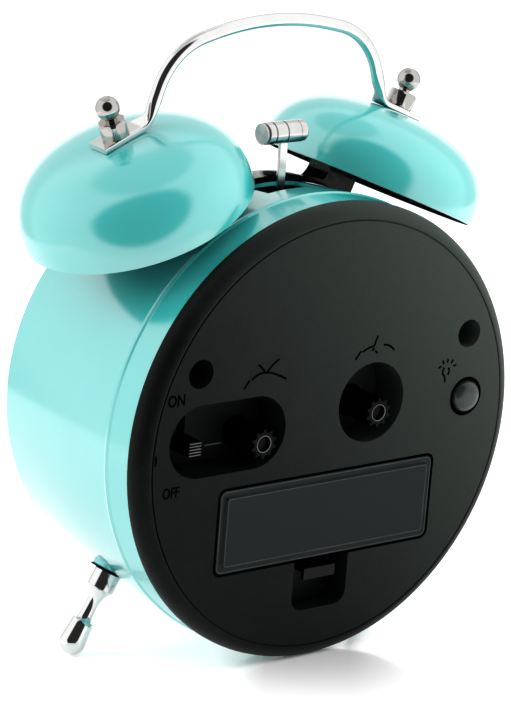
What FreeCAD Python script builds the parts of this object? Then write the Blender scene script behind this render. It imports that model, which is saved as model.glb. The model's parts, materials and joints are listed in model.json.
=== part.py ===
import FreeCAD, Part
import Sketcher
import math
import os
import re
from FreeCAD import Placement, Rotation, Vector

# Twin-bell alarm clock with a quartz movement, standing on two turned feet and the lower edge of
# its rear cover. Millimetres. The clock is modelled in its own frame: Y runs along the drum axis,
# towards the back, with zero at the widest plane of the rear cover; Z is up the dial; X is to the
# right of someone who faces the dial. Every sub-part then gets the same lean, worked out from the
# feet and the cover, so that the clock rests on the ground plane.

doc = FreeCAD.newDocument("twin_bell_alarm_clock")
sheet = doc.addObject("Spreadsheet::Sheet", "sizes")

SIZES = [
    # Rear cover
    ("cover_radius", 50.0, "widest radius of the rear cover"),
    ("cover_rim_round", 3.42, "rounding of the rim, which is also the height of the flat face"),
    ("cover_skirt", 0.8, "straight skirt of the rim that meets the drum"),
    ("cover_plate", 2.0, "thickness of the flat face"),
    ("cover_groove_radius", 46.9, "outer radius of the fine groove round the face"),
    ("cover_groove_width", 0.35, "width and depth of that groove"),
    ("spigot_wall", 1.4, "wall of the spigot that goes into the drum"),
    ("spigot_depth", 6.0, "how far the spigot reaches in"),
    ("seat_gap", 0.1, "clearance where one curved face seats in another"),
    ("well_wall", 1.2, "wall of the recesses in the face"),
    ("well_depth", 9.4, "depth of the setting recesses"),
    ("stadium_centre_x", 27.8, "centre of the long recess"),
    ("stadium_centre_z", 3.5, "centre of the long recess"),
    ("stadium_half_run", 7.1, "half the distance between the centres of its round ends"),
    ("stadium_radius", 7.9, "radius of its round ends"),
    ("alarm_well_x", -10.0, "centre of the round recess"),
    ("alarm_well_z", 6.1, "centre of the round recess"),
    ("alarm_well_radius", 8.8, "radius of the round recess"),
    ("screw_well_x", 36.03, "screw wells, left and right"),
    ("screw_well_z", 18.15, "height of the screw wells"),
    ("screw_well_radius", 3.1, "radius of the screw wells"),
    ("screw_well_depth", 8.0, "depth of the screw wells"),
    ("cover_screw_radius", 1.4, "shank of the cover screws"),
    ("cover_screw_head", 2.6, "head radius of the cover screws"),
    ("cover_screw_head_height", 1.8, "head height of the cover screws"),
    ("cover_screw_length", 14.0, "shank length of the cover screws"),
    ("screw_slot_width", 0.7, "width and depth of the driver slots"),
    # Battery compartment and door
    ("door_half_width", 28.5, "half the width of the battery door"),
    ("door_top_z", -8.34, "upper edge of the battery door"),
    ("door_bottom_z", -26.65, "lower edge of the battery door"),
    ("door_gap", 0.15, "gap round the battery door"),
    ("door_raise", 0.6, "how far its raised panel stands out"),
    ("door_border", 1.3, "border round the raised panel"),
    ("door_corner", 1.5, "radius of the door's corners"),
    ("door_ledge", 1.1, "ledge that the door rests on"),
    ("door_tab_x", 17.0, "place of the two hooks on its upper edge"),
    ("door_tab_half_width", 3.0, "half the width of a hook"),
    ("door_tab_reach", 1.1, "how far a hook reaches under the cover"),
    ("door_tab_thickness", 0.8, "thickness of a hook"),
    ("battery_length", 50.5, "AA cell"),
    ("battery_radius", 7.25, "AA cell"),
    ("battery_cap_radius", 2.75, "AA cell, raised contact"),
    ("battery_cap_height", 1.3, "AA cell, raised contact"),
    ("battery_play", 0.4, "room round the cell"),
    ("battery_well_depth", 17.2, "depth of the compartment below the face"),
    ("contact_thickness", 0.4, "sheet of the battery contacts"),
    ("contact_half_width", 4.5, "half the width of a contact"),
    ("contact_height", 10.0, "height of a contact"),
    ("latch_half_width", 7.3, "half the width of the latch recess"),
    ("latch_bottom_z", -38.5, "lower edge of the latch recess"),
    ("latch_depth", 6.0, "depth of the latch recess"),
    ("latch_corner", 3.0, "lower corners of the latch recess"),
    ("tongue_half_width", 4.2, "half the width of the door's springy tongue"),
    ("tongue_thickness", 0.9, "thickness of the tongue"),
    ("tongue_drop", 3.6, "depth of its fold"),
    ("tongue_run", 3.6, "width of its fold"),
    ("tongue_lip", 1.6, "finger lip of the tongue"),
    # Drum
    ("drum_rear_radius", 49.4, "drum at its rear edge"),
    ("drum_bead_radius", 49.78, "drum at its crease"),
    ("drum_bead_setback", 8.66, "crease, forward of the widest plane"),
    ("drum_front_radius", 45.76, "drum at its front edge"),
    ("drum_depth", 51.15, "front edge, forward of the widest plane"),
    ("drum_wall", 0.8, "sheet of the drum"),
    ("drum_lip", 4.2, "width of the lip turned in at the front"),
    ("slot_half_width", 7.0, "half the width of the hammer slot"),
    ("slot_setback", 15.5, "rear edge of the hammer slot"),
    ("slot_length", 8.5, "length of the hammer slot along the drum"),
    # Front
    ("bezel_radius", 45.3, "outer radius of the chromed bezel"),
    ("bezel_depth", 4.4, "depth of the bezel"),
    ("bezel_opening", 39.8, "opening of the bezel"),
    ("bezel_round", 2.2, "rounding of its front"),
    ("lens_radius", 42.6, "radius of the clear lens"),
    ("lens_thickness", 1.5, "thickness of the lens at its edge"),
    ("lens_crown", 1.2, "how far the lens bulges"),
    ("dial_ring_depth", 5.15, "from the lip of the drum back to the dial"),
    ("dial_thickness", 0.4, "printed dial disc"),
    ("dial_radius", 43.6, "radius of the dial disc"),
    ("dial_opening", 4.6, "hole of the dial round the centre bush"),
    ("ring_wall", 1.2, "wall of the ring between dial and lens"),
    ("ring_slope", 1.6, "how far that ring narrows towards the dial"),
    ("carrier_thickness", 1.5, "plastic disc that carries the dial"),
    ("carrier_rim", 5.0, "depth of its rim"),
    ("carrier_post_radius", 3.6, "posts that the cover screws go into"),
    ("pillar_radius", 2.6, "pillars from the dial carrier to the movement"),
    ("pillar_x", 22.0, "place of the pillars"),
    ("pillar_low_z", -12.0, "place of the lower pillars"),
    ("pillar_high_z", 17.5, "place of the upper pillars"),
    ("led_radius", 1.5, "lamp that lights the dial"),
    ("led_length", 4.0, "length of the lamp"),
    ("led_z", 36.0, "place of the lamp above the centre"),
    # Bells, bridge and handle
    ("bell_centre_x", 30.78, "centre of a bell's rim"),
    ("bell_setback", 28.78, "plane of both bell axes"),
    ("bell_centre_z", 43.98, "centre of a bell's rim"),
    ("bell_tilt", 23.1, "outward lean of a bell, in degrees"),
    ("bell_radius", 25.03, "outer radius of a bell's rim"),
    ("bell_height", 16.92, "height of a bell"),
    ("bell_power", 2.53, "exponent of the bell's rounded section"),
    ("bell_wall", 0.8, "sheet of a bell"),
    ("bridge_front_setback", 31.0, "front edge of the saddle on the drum"),
    ("bridge_width", 7.0, "width of the saddle along the drum"),
    ("bridge_thickness", 1.3, "thickness of the saddle"),
    ("bridge_angle", 38.0, "degrees of the drum that the saddle covers"),
    ("post_depth", 7.0, "depth of a bell post along the drum"),
    ("post_toe_x", 13.4, "tip of the post's inner flare"),
    ("post_flare_radius", 4.6, "hollow flare at the foot of the post"),
    ("post_neck_x", 17.3, "inner face of the post below the bell's rim"),
    ("post_neck_z", 51.6, "inner face of the post below the bell's rim"),
    ("post_heel_x", 23.3, "outer foot of the post"),
    ("post_heel_z", 42.6, "outer foot of the post"),
    ("post_side_x", 25.4, "outer face of the post at the bell's rim"),
    ("post_side_z", 47.3, "outer face of the post at the bell's rim"),
    ("post_top_half_width", 4.0, "half the width of the post under the bell's crown"),
    ("stud_radius", 1.5, "threaded stud through post, bell and handle"),
    ("stud_length", 8.0, "stud below the bell's crown"),
    ("handle_width", 6.2, "width of the handle's flattened ends"),
    ("handle_thickness", 1.2, "thickness of the handle's flattened ends"),
    ("handle_rod_radius", 1.45, "round rod of the handle"),
    ("handle_rod_setback", 26.86, "plane of the rod"),
    ("handle_flare", 6.0, "length of the leg over which the rod is pressed flat"),
    ("handle_tab", 5.0, "tab beyond the bell's axis"),
    ("handle_heel", 6.66, "tab from the bell's axis to the bend"),
    ("handle_bend_radius", 4.1, "bend between tab and leg"),
    ("handle_leg_angle", 18.4, "lean of the leg from upright, in degrees"),
    ("handle_shoulder_z", 78.2, "height where leg and crown would meet"),
    ("handle_shoulder_radius", 15.4, "radius of the shoulder"),
    ("handle_crown_radius", 66.4, "radius of the crown"),
    ("handle_crown_angle", 14.1, "slope where the crown meets the shoulder, in degrees"),
    ("nut_radius", 3.35, "corner radius of the nuts on the handle"),
    ("nut_height", 3.5, "height of those nuts"),
    ("nut_chamfer", 0.7, "rounding of the nut's corners"),
    ("neck_radius", 1.3, "neck under the ball"),
    ("neck_height", 0.8, "height of the neck"),
    ("ball_radius", 2.6, "ball on the stud"),
    ("ball_flat_radius", 1.1, "flat on top of the ball"),
    # Hammer
    ("hammer_setback", 20.6, "plane in which the hammer swings"),
    ("hammer_pivot_z", 31.5, "height of the hammer's pivot"),
    ("hammer_head_z", 60.1, "height of the hammer's head at rest"),
    ("hammer_head_radius", 2.4, "radius of the head"),
    ("hammer_head_length", 12.1, "length of the head"),
    ("hammer_groove_width", 0.25, "fine grooves round the head"),
    ("hammer_step_length", 1.9, "narrower end of the head"),
    ("hammer_arm_width", 2.0, "width of the arm"),
    ("hammer_arm_thickness", 0.7, "thickness of the arm"),
    ("hammer_hub_radius", 2.4, "eye of the arm"),
    ("hammer_fork_drop", 6.0, "fork centre below the pivot"),
    ("hammer_fork_half_gap", 0.8, "half the opening of the fork"),
    ("hammer_fork_prong", 1.2, "width of a prong"),
    ("hammer_fork_length", 3.6, "length of the prongs"),
    ("pivot_radius", 1.0, "hammer's pivot pin"),
    ("pivot_clearance", 0.05, "running clearance of the pivot"),
    ("bracket_half_width", 5.0, "half the width of the hammer bracket"),
    ("bracket_thickness", 1.2, "sheet of the hammer bracket"),
    ("bracket_gap", 0.4, "gap between the arm and the bracket"),
    ("motor_radius", 7.0, "hammer motor"),
    ("motor_length", 10.0, "hammer motor"),
    ("motor_boss_radius", 2.4, "motor's bearing boss"),
    ("motor_boss_length", 1.9, "motor's bearing boss"),
    ("motor_shaft_radius", 0.6, "motor's shaft"),
    ("cam_radius", 2.8, "disc on the motor's shaft"),
    ("cam_thickness", 1.0, "disc on the motor's shaft"),
    ("cam_offset", 1.1, "throw of the pin on the disc"),
    ("cam_pin_radius", 0.6, "pin on the disc"),
    ("cam_gap", 0.3, "gap between the disc's pin and the arm, and behind the disc"),
    # Feet
    ("foot_setback", 28.5, "plane of the feet"),
    ("foot_place_angle", 40.6, "place of a foot round the drum, degrees from the bottom"),
    ("foot_tilt", 33.0, "outward lean of a foot, in degrees"),
    ("foot_rise", 0.65, "seat of a foot above the drum's surface"),
    ("foot_length", 19.3, "foot from its seat to the end of the bulb"),
    ("foot_bulb_radius", 2.9, "rounded end of the foot"),
    ("foot_bulb_start", 11.6, "start of the bulb"),
    ("foot_bulb_neck", 2.45, "radius at the start of the bulb"),
    ("foot_flare_radius", 2.0, "flare before the bulb"),
    ("foot_waist", 1.4, "thinnest radius of the foot"),
    ("foot_waist_start", 8.2, "thinnest place of the foot"),
    ("foot_collar_radius", 3.05, "collar at the seat"),
    ("foot_collar_length", 4.2, "length of the collar"),
    ("foot_washer_radius", 4.3, "washer under the foot"),
    ("foot_washer_height", 0.5, "thickness of the washer"),
    ("foot_boss_height", 2.7, "boss on the drum that the washer sits on"),
    ("foot_stud_radius", 1.5, "threaded end of the foot"),
    ("foot_stud_length", 6.0, "threaded end of the foot inside the drum"),
    ("foot_nut_radius", 3.1, "corner radius of the nut inside"),
    ("foot_nut_height", 2.4, "height of the nut inside"),
    # Movement
    ("movement_setback", 16.0, "rear face of the movement"),
    ("movement_depth", 17.0, "depth of the movement"),
    ("movement_half_width", 27.5, "half the width of the movement"),
    ("movement_low_z", -16.0, "lower edge of the movement"),
    ("movement_high_z", 21.5, "upper edge of the movement"),
    ("movement_wall", 1.5, "wall of the movement's housing"),
    ("plate_thickness", 1.5, "front plate of the movement"),
    ("bridge_plate_setback", 23.3, "rear face of the inner bridge"),
    ("bridge_plate_thickness", 1.0, "inner bridge"),
    ("running_clearance", 0.08, "radial clearance of arbors and tubes"),
    ("arbor_radius", 0.5, "thin arbors, and the second hand's arbor"),
    ("minute_tube_radius", 1.1, "minute hand's tube"),
    ("hour_tube_radius", 1.8, "hour hand's tube"),
    ("alarm_tube_radius", 2.6, "alarm hand's tube"),
    ("bush_radius", 4.0, "centre bush of the front plate"),
    ("wheel_thickness", 0.7, "fine wheels"),
    ("work_wheel_thickness", 0.9, "wheels of the hand-setting work"),
    ("layer_gap", 0.3, "gap between neighbouring wheels"),
    ("time_knob_x", 18.6, "time-setting knob"),
    ("time_knob_z", 0.9, "time-setting knob"),
    ("alarm_knob_x", -11.9, "alarm-setting knob"),
    ("alarm_knob_z", 3.65, "alarm-setting knob"),
    ("knob_radius", 3.25, "over the flutes of a setting knob"),
    ("knob_root_radius", 2.6, "between the flutes of a setting knob"),
    ("knob_length", 8.0, "fluted length of a setting knob"),
    ("knob_stand_out", 0.5, "how far a knob stands out of the face"),
    ("knob_dish_radius", 1.7, "dish in the end of a knob"),
    ("knob_dish_depth", 0.8, "dish in the end of a knob"),
    ("knob_shaft_radius", 1.3, "shaft of a setting knob"),
    ("work_module", 0.75, "tooth size of the hand-setting work"),
    ("third_axis_reach", 8.1, "third wheel from the centre"),
    ("third_axis_angle", 100.0, "degrees from the right, anticlockwise from the front"),
    ("step_axis_reach", 8.4, "intermediate wheel from the centre"),
    ("step_axis_angle", 35.0, "degrees from the right, anticlockwise from the front"),
    ("rotor_axis_reach", 7.2, "rotor from the intermediate wheel"),
    ("rotor_axis_angle", 40.0, "degrees from the right, anticlockwise from the front"),
    ("rotor_radius", 2.4, "magnet of the rotor"),
    ("rotor_length", 1.8, "magnet of the rotor"),
    ("stator_gap", 0.5, "air gap round the rotor"),
    ("stator_half_width", 6.9, "half the length of the stator"),
    ("stator_leg", 1.8, "width of the stator's legs"),
    ("coil_radius", 2.6, "winding of the coil"),
    ("coil_half_length", 4.6, "half the length of the winding"),
    ("coil_cheek_radius", 3.0, "cheeks of the bobbin"),
    ("coil_cheek", 0.7, "thickness of a cheek"),
    ("coil_core_radius", 1.2, "core of the coil"),
    ("board_thickness", 1.0, "circuit boards"),
    ("crystal_radius", 1.0, "quartz crystal can"),
    ("crystal_length", 6.0, "quartz crystal can"),
    ("movement_screw_radius", 1.0, "screws of the movement"),
    ("movement_screw_head", 1.9, "screws of the movement"),
    ("movement_screw_head_height", 0.8, "screws of the movement"),
    # Hands
    ("hand_thickness", 0.3, "sheet of the hands"),
    ("hand_gap", 0.6, "gap between one hand and the next"),
    ("alarm_hand_length", 20.0, "alarm hand"),
    ("hour_hand_length", 24.0, "hour hand"),
    ("minute_hand_length", 34.0, "minute hand"),
    ("second_hand_length", 35.0, "second hand"),
    ("second_hand_tail", 9.0, "tail of the second hand"),
    ("alarm_hand_half_width", 0.9, "alarm hand"),
    ("hour_hand_half_width", 1.9, "hour hand"),
    ("minute_hand_half_width", 1.5, "minute hand"),
    ("second_hand_half_width", 0.45, "second hand"),
    ("hand_hub_wall", 1.3, "eye of a hand beyond its tube"),
    ("shown_hours", 10, "time shown"),
    ("shown_minutes", 10, "time shown"),
    ("shown_seconds", 35, "time shown"),
    ("alarm_hours", 6.5, "alarm time shown"),
    # Switches
    ("slider_x", 33.1, "alarm switch"),
    ("slider_z", 0.4, "alarm switch, at OFF"),
    ("slider_half_size", 1.6, "thumb piece of the alarm switch"),
    ("slider_depth", 3.9, "thumb piece below the face"),
    ("slider_travel", 5.0, "from OFF up to ON"),
    ("slider_stem_half_width", 0.9, "stem of the alarm switch"),
    ("slider_plate_half_width", 2.6, "sliding plate of the alarm switch"),
    ("slider_plate_thickness", 0.8, "sliding plate of the alarm switch"),
    ("slider_ridge", 0.25, "ridges on the thumb piece"),
    ("light_button_x", -36.65, "dial light button"),
    ("light_button_z", 3.96, "dial light button"),
    ("light_well_radius", 4.2, "shallow dish round the light button"),
    ("light_dish_depth", 0.5, "shallow dish round the light button"),
    ("light_button_radius", 3.5, "dial light button"),
    ("light_button_gap", 0.2, "gap round the light button"),
    ("light_button_dome", 1.3, "dome of the light button"),
    ("light_button_rim", 0.0, "straight side of the button above the face"),
    ("light_button_length", 4.6, "light button below its dome"),
    ("light_flange", 0.9, "flange that keeps the button in"),
    ("light_travel", 1.0, "travel of the light button"),
    ("light_board_width", 9.0, "board of the light switch"),
    ("light_board_height", 16.0, "board of the light switch"),
    ("light_post_radius", 1.3, "posts that the board sits on"),
    ("light_post_reach", 6.6, "posts above and below the button"),
    ("light_switch_half_size", 2.4, "light switch"),
    ("light_switch_height", 2.2, "light switch"),
]

TEETH = {
    "time_gear": 16,
    "work_wheel": 24,
    "cannon": 8,
    "work_pinion": 7,
    "hour": 28,
    "alarm_pinion": 8,
    "alarm": 24,
    "rotor": 6,
    "step_wheel": 30,
    "step_pinion": 6,
    "second": 36,
    "second_pinion": 6,
    "third": 45,
    "third_pinion": 6,
    "centre": 48,
}
KNOB_FLUTES = 10
BELL_STATIONS = 7
SIDES = (("left", -1), ("right", 1))

# A tooth, as shares of the tooth size and of the pitch
ADDENDUM_SHARE = 0.8
DEDENDUM_SHARE = 1.15
ROOT_SHARE = 0.30
TIP_SHARE = 0.11

# A hand, as shares of its half width and of its length
HAND_WAIST_SHARE = 0.55
HAND_SHOULDER_SHARE = 0.62
HAND_TIP_SHARE = 0.2

# Values that follow from the ones above
DERIVED = [
    ("dial_setback", "=drum_depth - drum_wall - dial_ring_depth", "front face of the dial"),
]

for row, (alias, number, note) in enumerate(SIZES, start=1):
    sheet.set("A%d" % row, alias)
    sheet.set("B%d" % row, repr(number))
    sheet.set("C%d" % row, note)
    sheet.setAlias("B%d" % row, alias)
for row, (alias, formula, note) in enumerate(DERIVED, start=len(SIZES) + 1):
    sheet.set("A%d" % row, alias)
    sheet.set("B%d" % row, formula)
    sheet.set("C%d" % row, note)
    sheet.setAlias("B%d" % row, alias)
doc.recompute()

ALIASES = [entry[0] for entry in SIZES + DERIVED]
ALIAS_PATTERN = re.compile(r"\b(" + "|".join(sorted(ALIASES, key=len, reverse=True)) + r")\b")
nodes = []


def size(expression):
    """The value of an expression in the sheet's names."""
    return float(sheet.evalExpression(expression))


def bind(target, prop, expression):
    """Bind a property to the sheet."""
    target.setExpression(prop, ALIAS_PATTERN.sub(r"sizes.\1", expression))


def node(piece, name, local=None):
    """Give a finished sub-part its name and keep it for the lean and the export."""
    piece.Label = name
    nodes.append((piece, name, local or Placement()))
    return piece


def new_body(name):
    """An empty body."""
    return doc.addObject("PartDesign::Body", name + "_body")


def sketch_on(body, name, role, offset="0"):
    """A sketch on one of the body's origin planes, moved along the plane's normal."""
    sketch = body.newObject("Sketcher::SketchObject", name)
    plane = [item for item in body.Origin.OriginFeatures if item.Role == role][0]
    sketch.AttachmentSupport = [(plane, "")]
    sketch.MapMode = "FlatFace"
    if offset != "0":
        bind(sketch, "AttachmentOffset.Base.z", offset)
    return sketch


def pin_point(sketch, curve, end, across, up):
    """Fix one point of a sketch by its two distances from the origin."""
    for kind, expression in (("DistanceX", across), ("DistanceY", up)):
        index = sketch.addConstraint(Sketcher.Constraint(kind, -1, 1, curve, end, size(expression)))
        if expression != "0":
            bind(sketch, "Constraints[%d]" % index, expression)


def outline(sketch, corners):
    """A closed outline. A corner is (across, up), or (across, up, radius, turn) where an arc of that
    radius leads to the next corner, turning left for 1 and right for -1."""
    first = sketch.GeometryCount
    count = len(corners)
    points = [Vector(size(corner[0]), size(corner[1]), 0) for corner in corners]
    ends = []
    for index, corner in enumerate(corners):
        start, finish = points[index], points[(index + 1) % count]
        if len(corner) == 2:
            sketch.addGeometry(Part.LineSegment(start, finish), False)
            ends.append((1, 2))
            continue
        radius, turn = size(corner[2]), corner[3]
        chord = finish - start
        rise = math.sqrt(max(radius * radius - chord.Length * chord.Length / 4, 0))
        side = Vector(-chord.y, chord.x, 0).normalize() * rise * turn
        centre = (start + finish) * 0.5 + side
        first_point, last_point = (start, finish) if turn > 0 else (finish, start)
        angles = [math.atan2(p.y - centre.y, p.x - centre.x) for p in (first_point, last_point)]
        if angles[1] < angles[0]:
            angles[1] += 2 * math.pi
        circle = Part.Circle(centre, Vector(0, 0, 1), radius)
        sketch.addGeometry(Part.ArcOfCircle(circle, angles[0], angles[1]), False)
        ends.append((1, 2) if turn > 0 else (2, 1))
        index_now = sketch.addConstraint(Sketcher.Constraint("Radius", first + index, radius))
        bind(sketch, "Constraints[%d]" % index_now, corner[2])
    for index in range(count):
        after = (index + 1) % count
        sketch.addConstraint(
            Sketcher.Constraint("Coincident", first + index, ends[index][1], first + after, ends[after][0]))
    for index, corner in enumerate(corners):
        pin_point(sketch, first + index, ends[index][0], corner[0], corner[1])
    return sketch


def ring_outline(sketch, across, up, radius):
    """A full circle."""
    first = sketch.GeometryCount
    centre = Vector(size(across), size(up), 0)
    sketch.addGeometry(Part.Circle(centre, Vector(0, 0, 1), size(radius)), False)
    pin_point(sketch, first, 3, across, up)
    index = sketch.addConstraint(Sketcher.Constraint("Radius", first, size(radius)))
    bind(sketch, "Constraints[%d]" % index, radius)


def box_outline(sketch, left, right, bottom, top):
    """A rectangle."""
    outline(sketch, [(left, bottom), (right, bottom), (right, top), (left, top)])


def slot_outline(sketch, left, right, middle, radius):
    """Two straight sides and two round ends, centred at left and right."""
    first = sketch.GeometryCount
    low, high, rest = size(left), size(right), size(middle)
    reach = size(radius)
    ends = ((high, -math.pi / 2, math.pi / 2), (low, math.pi / 2, 3 * math.pi / 2))
    for index, (centre, start, finish) in enumerate(ends):
        circle = Part.Circle(Vector(centre, rest, 0), Vector(0, 0, 1), reach)
        sketch.addGeometry(Part.ArcOfCircle(circle, start, finish), False)
        side = 1 if index == 0 else -1
        other = ends[1 - index][0]
        sketch.addGeometry(
            Part.LineSegment(Vector(centre, rest + side * reach, 0), Vector(other, rest + side * reach, 0)), False)
    for index in range(4):
        after = (index + 1) % 4
        sketch.addConstraint(Sketcher.Constraint("Tangent", first + index, 2, first + after, 1))
    for index, expression in ((0, right), (2, left)):
        pin_point(sketch, first + index, 3, expression, middle)
        label = sketch.addConstraint(Sketcher.Constraint("Radius", first + index, reach))
        bind(sketch, "Constraints[%d]" % label, radius)


def revolution(body, sketch, name, axis="V_Axis", angle=None):
    """Turn a sketch about one of its own axes."""
    feature = body.newObject("PartDesign::Revolution", name)
    feature.Profile = sketch
    feature.ReferenceAxis = (sketch, [axis])
    feature.Angle = 360
    if angle:
        feature.Midplane = True
        bind(feature, "Angle", angle)
    return feature


def pad(body, sketch, name, length, middle=False, backwards=False):
    """Raise a sketch along its normal."""
    feature = body.newObject("PartDesign::Pad", name)
    feature.Profile = sketch
    feature.Length = size(length)
    bind(feature, "Length", length)
    feature.Midplane = middle
    feature.Reversed = backwards
    return feature


def pocket(body, sketch, name, length, forwards=True):
    """Cut a sketch into the solid, along its normal."""
    feature = body.newObject("PartDesign::Pocket", name)
    feature.Profile = sketch
    feature.Length = size(length)
    bind(feature, "Length", length)
    feature.Reversed = forwards
    return feature


def turned(name, profile):
    """A piece turned about its own Z axis from a profile of (radius, height) corners."""
    body = new_body(name)
    sketch = sketch_on(body, name + "_profile", "XZ_Plane")
    outline(sketch, profile)
    revolution(body, sketch, name + "_turning")
    return body


def rod(name, radius, rear, front, across="0", up="0"):
    """A round bar along the drum's axis, from its rear to its front end."""
    bar = doc.addObject("Part::Cylinder", name)
    bind(bar, "Radius", radius)
    bind(bar, "Height", "(%s) - (%s)" % (rear, front))
    bar.Placement = Placement(Vector(0, 0, 0), Rotation(Vector(1, 0, 0), -90))
    bind(bar, "Placement.Base.x", across)
    bind(bar, "Placement.Base.y", front)
    bind(bar, "Placement.Base.z", up)
    return bar


def block(name, left, right, front, rear, bottom, top):
    """A box between two corners."""
    box = doc.addObject("Part::Box", name)
    bind(box, "Length", "(%s) - (%s)" % (right, left))
    bind(box, "Width", "(%s) - (%s)" % (rear, front))
    bind(box, "Height", "(%s) - (%s)" % (top, bottom))
    bind(box, "Placement.Base.x", left)
    bind(box, "Placement.Base.y", front)
    bind(box, "Placement.Base.z", bottom)
    return box


def fuse(name, pieces):
    """Several pieces as one."""
    joined = doc.addObject("Part::MultiFuse", name)
    joined.Shapes = pieces
    return joined


def cut(name, base, tools):
    """A piece with others cut out of it."""
    tool = tools[0] if len(tools) == 1 else fuse(name + "_tools", tools)
    result = doc.addObject("Part::Cut", name)
    result.Base = base
    result.Tool = tool
    return result


def shape_feature(name, shape):
    """A piece whose shape is worked out here."""
    piece = doc.addObject("Part::Feature", name)
    piece.Shape = shape
    return piece


def group(name, shapes):
    """Like solids that share one name."""
    return shape_feature(name, Part.makeCompound(shapes))


def tube_shape(outer, inner, rear, front, across=0, up=0):
    """A tube or bar along the drum's axis."""
    base = Vector(across, front, up)
    shape = Part.makeCylinder(outer, rear - front, base, Vector(0, 1, 0))
    if inner > 0:
        shape = shape.cut(Part.makeCylinder(inner, rear - front, base, Vector(0, 1, 0)))
    return shape


def on_axis(reach, angle):
    """A place on the movement, by distance and by degrees from the right."""
    turn = math.radians(angle)
    return (reach * math.cos(turn), reach * math.sin(turn))


def polygon_solid(points, rear, front):
    """A flat piece along the drum's axis from points of (x, z)."""
    corners = [Vector(x, front, z) for x, z in points]
    face = Part.Face(Part.makePolygon(corners + corners[:1]))
    return face.extrude(Vector(0, rear - front, 0))


def gear_solid(centre, teeth, module, phase, rear, front, bore=0.0):
    """A straight-sided gear with a tooth at the angle phase."""
    pitch = 2 * math.pi / teeth
    radius = module * teeth / 2
    root, tip = radius - DEDENDUM_SHARE * module, radius + ADDENDUM_SHARE * module
    points = []
    for tooth in range(teeth):
        middle = phase + tooth * pitch
        for reach, share in ((root, -ROOT_SHARE), (tip, -TIP_SHARE), (tip, TIP_SHARE), (root, ROOT_SHARE)):
            angle = middle + share * pitch
            points.append((centre[0] + reach * math.cos(angle), centre[1] + reach * math.sin(angle)))
    solid = polygon_solid(points, rear, front)
    if bore > 0:
        solid = solid.cut(tube_shape(bore, 0, rear, front, centre[0], centre[1]))
    return solid


def meshed_phase(here, phase, teeth, there, other_teeth):
    """The phase of the gear at there, in mesh with the gear at here."""
    direction = math.atan2(there[1] - here[1], there[0] - here[0])
    share = (direction - phase) / (2 * math.pi / teeth)
    return direction + math.pi - (0.5 - share) * 2 * math.pi / other_teeth


def distance(here, there):
    """Distance between two places."""
    return math.hypot(there[0] - here[0], there[1] - here[1])


def strip_solid(corners, radii, thickness, middle, width):
    """A bent strip: its middle line runs through corners of (x, z), rounded by radii."""
    front = middle - width / 2

    def offset_line(side):
        lines = []
        for start, end in zip(corners, corners[1:]):
            direction = Vector(end[0] - start[0], 0, end[1] - start[1]).normalize()
            normal = Vector(-direction.z, 0, direction.x) * side * thickness / 2
            lines.append((Vector(start[0], front, start[1]) + normal, direction))
        joints = [lines[0][0]]
        for (point, direction), (other, heading) in zip(lines, lines[1:]):
            cross = direction.x * heading.z - direction.z * heading.x
            gap = other - point
            run = (gap.x * heading.z - gap.z * heading.x) / cross
            joints.append(point + direction * run)
        last = lines[-1]
        end = Vector(corners[-1][0], front, corners[-1][1])
        joints.append(last[0] + last[1] * (end - last[0]).dot(last[1]))
        edges = []
        before = joints[0]
        for index in range(1, len(joints) - 1):
            arriving, leaving = lines[index - 1][1], lines[index][1]
            cross = arriving.x * leaving.z - arriving.z * leaving.x
            turn = math.atan2(abs(cross), arriving.dot(leaving))
            bend = radii[index - 1] + (-side if cross > 0 else side) * thickness / 2
            run = bend * math.tan(turn / 2)
            start = joints[index] - arriving * run
            finish = joints[index] + leaving * run
            inward = (leaving - arriving).normalize()
            centre = joints[index] + inward * (bend / math.cos(turn / 2))
            edges.append(Part.LineSegment(before, start).toShape())
            edges.append(Part.Arc(start, centre - inward * bend, finish).toShape())
            before = finish
        edges.append(Part.LineSegment(before, joints[-1]).toShape())
        return edges, joints[0], joints[-1]
    upper, upper_start, upper_end = offset_line(1)
    lower, lower_start, lower_end = offset_line(-1)
    caps = [Part.LineSegment(upper_start, lower_start).toShape(), Part.LineSegment(upper_end, lower_end).toShape()]
    wire = Part.Wire(Part.__sortEdges__(upper + lower + caps))
    return Part.Face(wire).extrude(Vector(0, width, 0))


def drum_surface(setback):
    """Outer radius of the drum at a setback from the widest plane."""
    slope = (size("drum_bead_radius") - size("drum_front_radius")) / size("drum_depth - drum_bead_setback")
    return size("drum_bead_radius") - (setback - size("drum_bead_setback")) * slope


def bell_local(side):
    """From a bell's own frame, rim centre at the origin and crown along Z, to the clock's frame."""
    base = Vector(side * size("bell_centre_x"), -size("bell_setback"), size("bell_centre_z"))
    return Placement(base, Rotation(Vector(0, 1, 0), side * size("bell_tilt")))


def foot_local(side):
    """From a foot's own frame, seat at the origin and bulb along Z, to the clock's frame."""
    place = math.radians(size("foot_place_angle"))
    reach = drum_surface(size("foot_setback")) + size("foot_rise")
    base = Vector(side * reach * math.sin(place), -size("foot_setback"), -reach * math.cos(place))
    return Placement(base, Rotation(Vector(0, 1, 0), side * (180 - size("foot_tilt"))))


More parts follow.
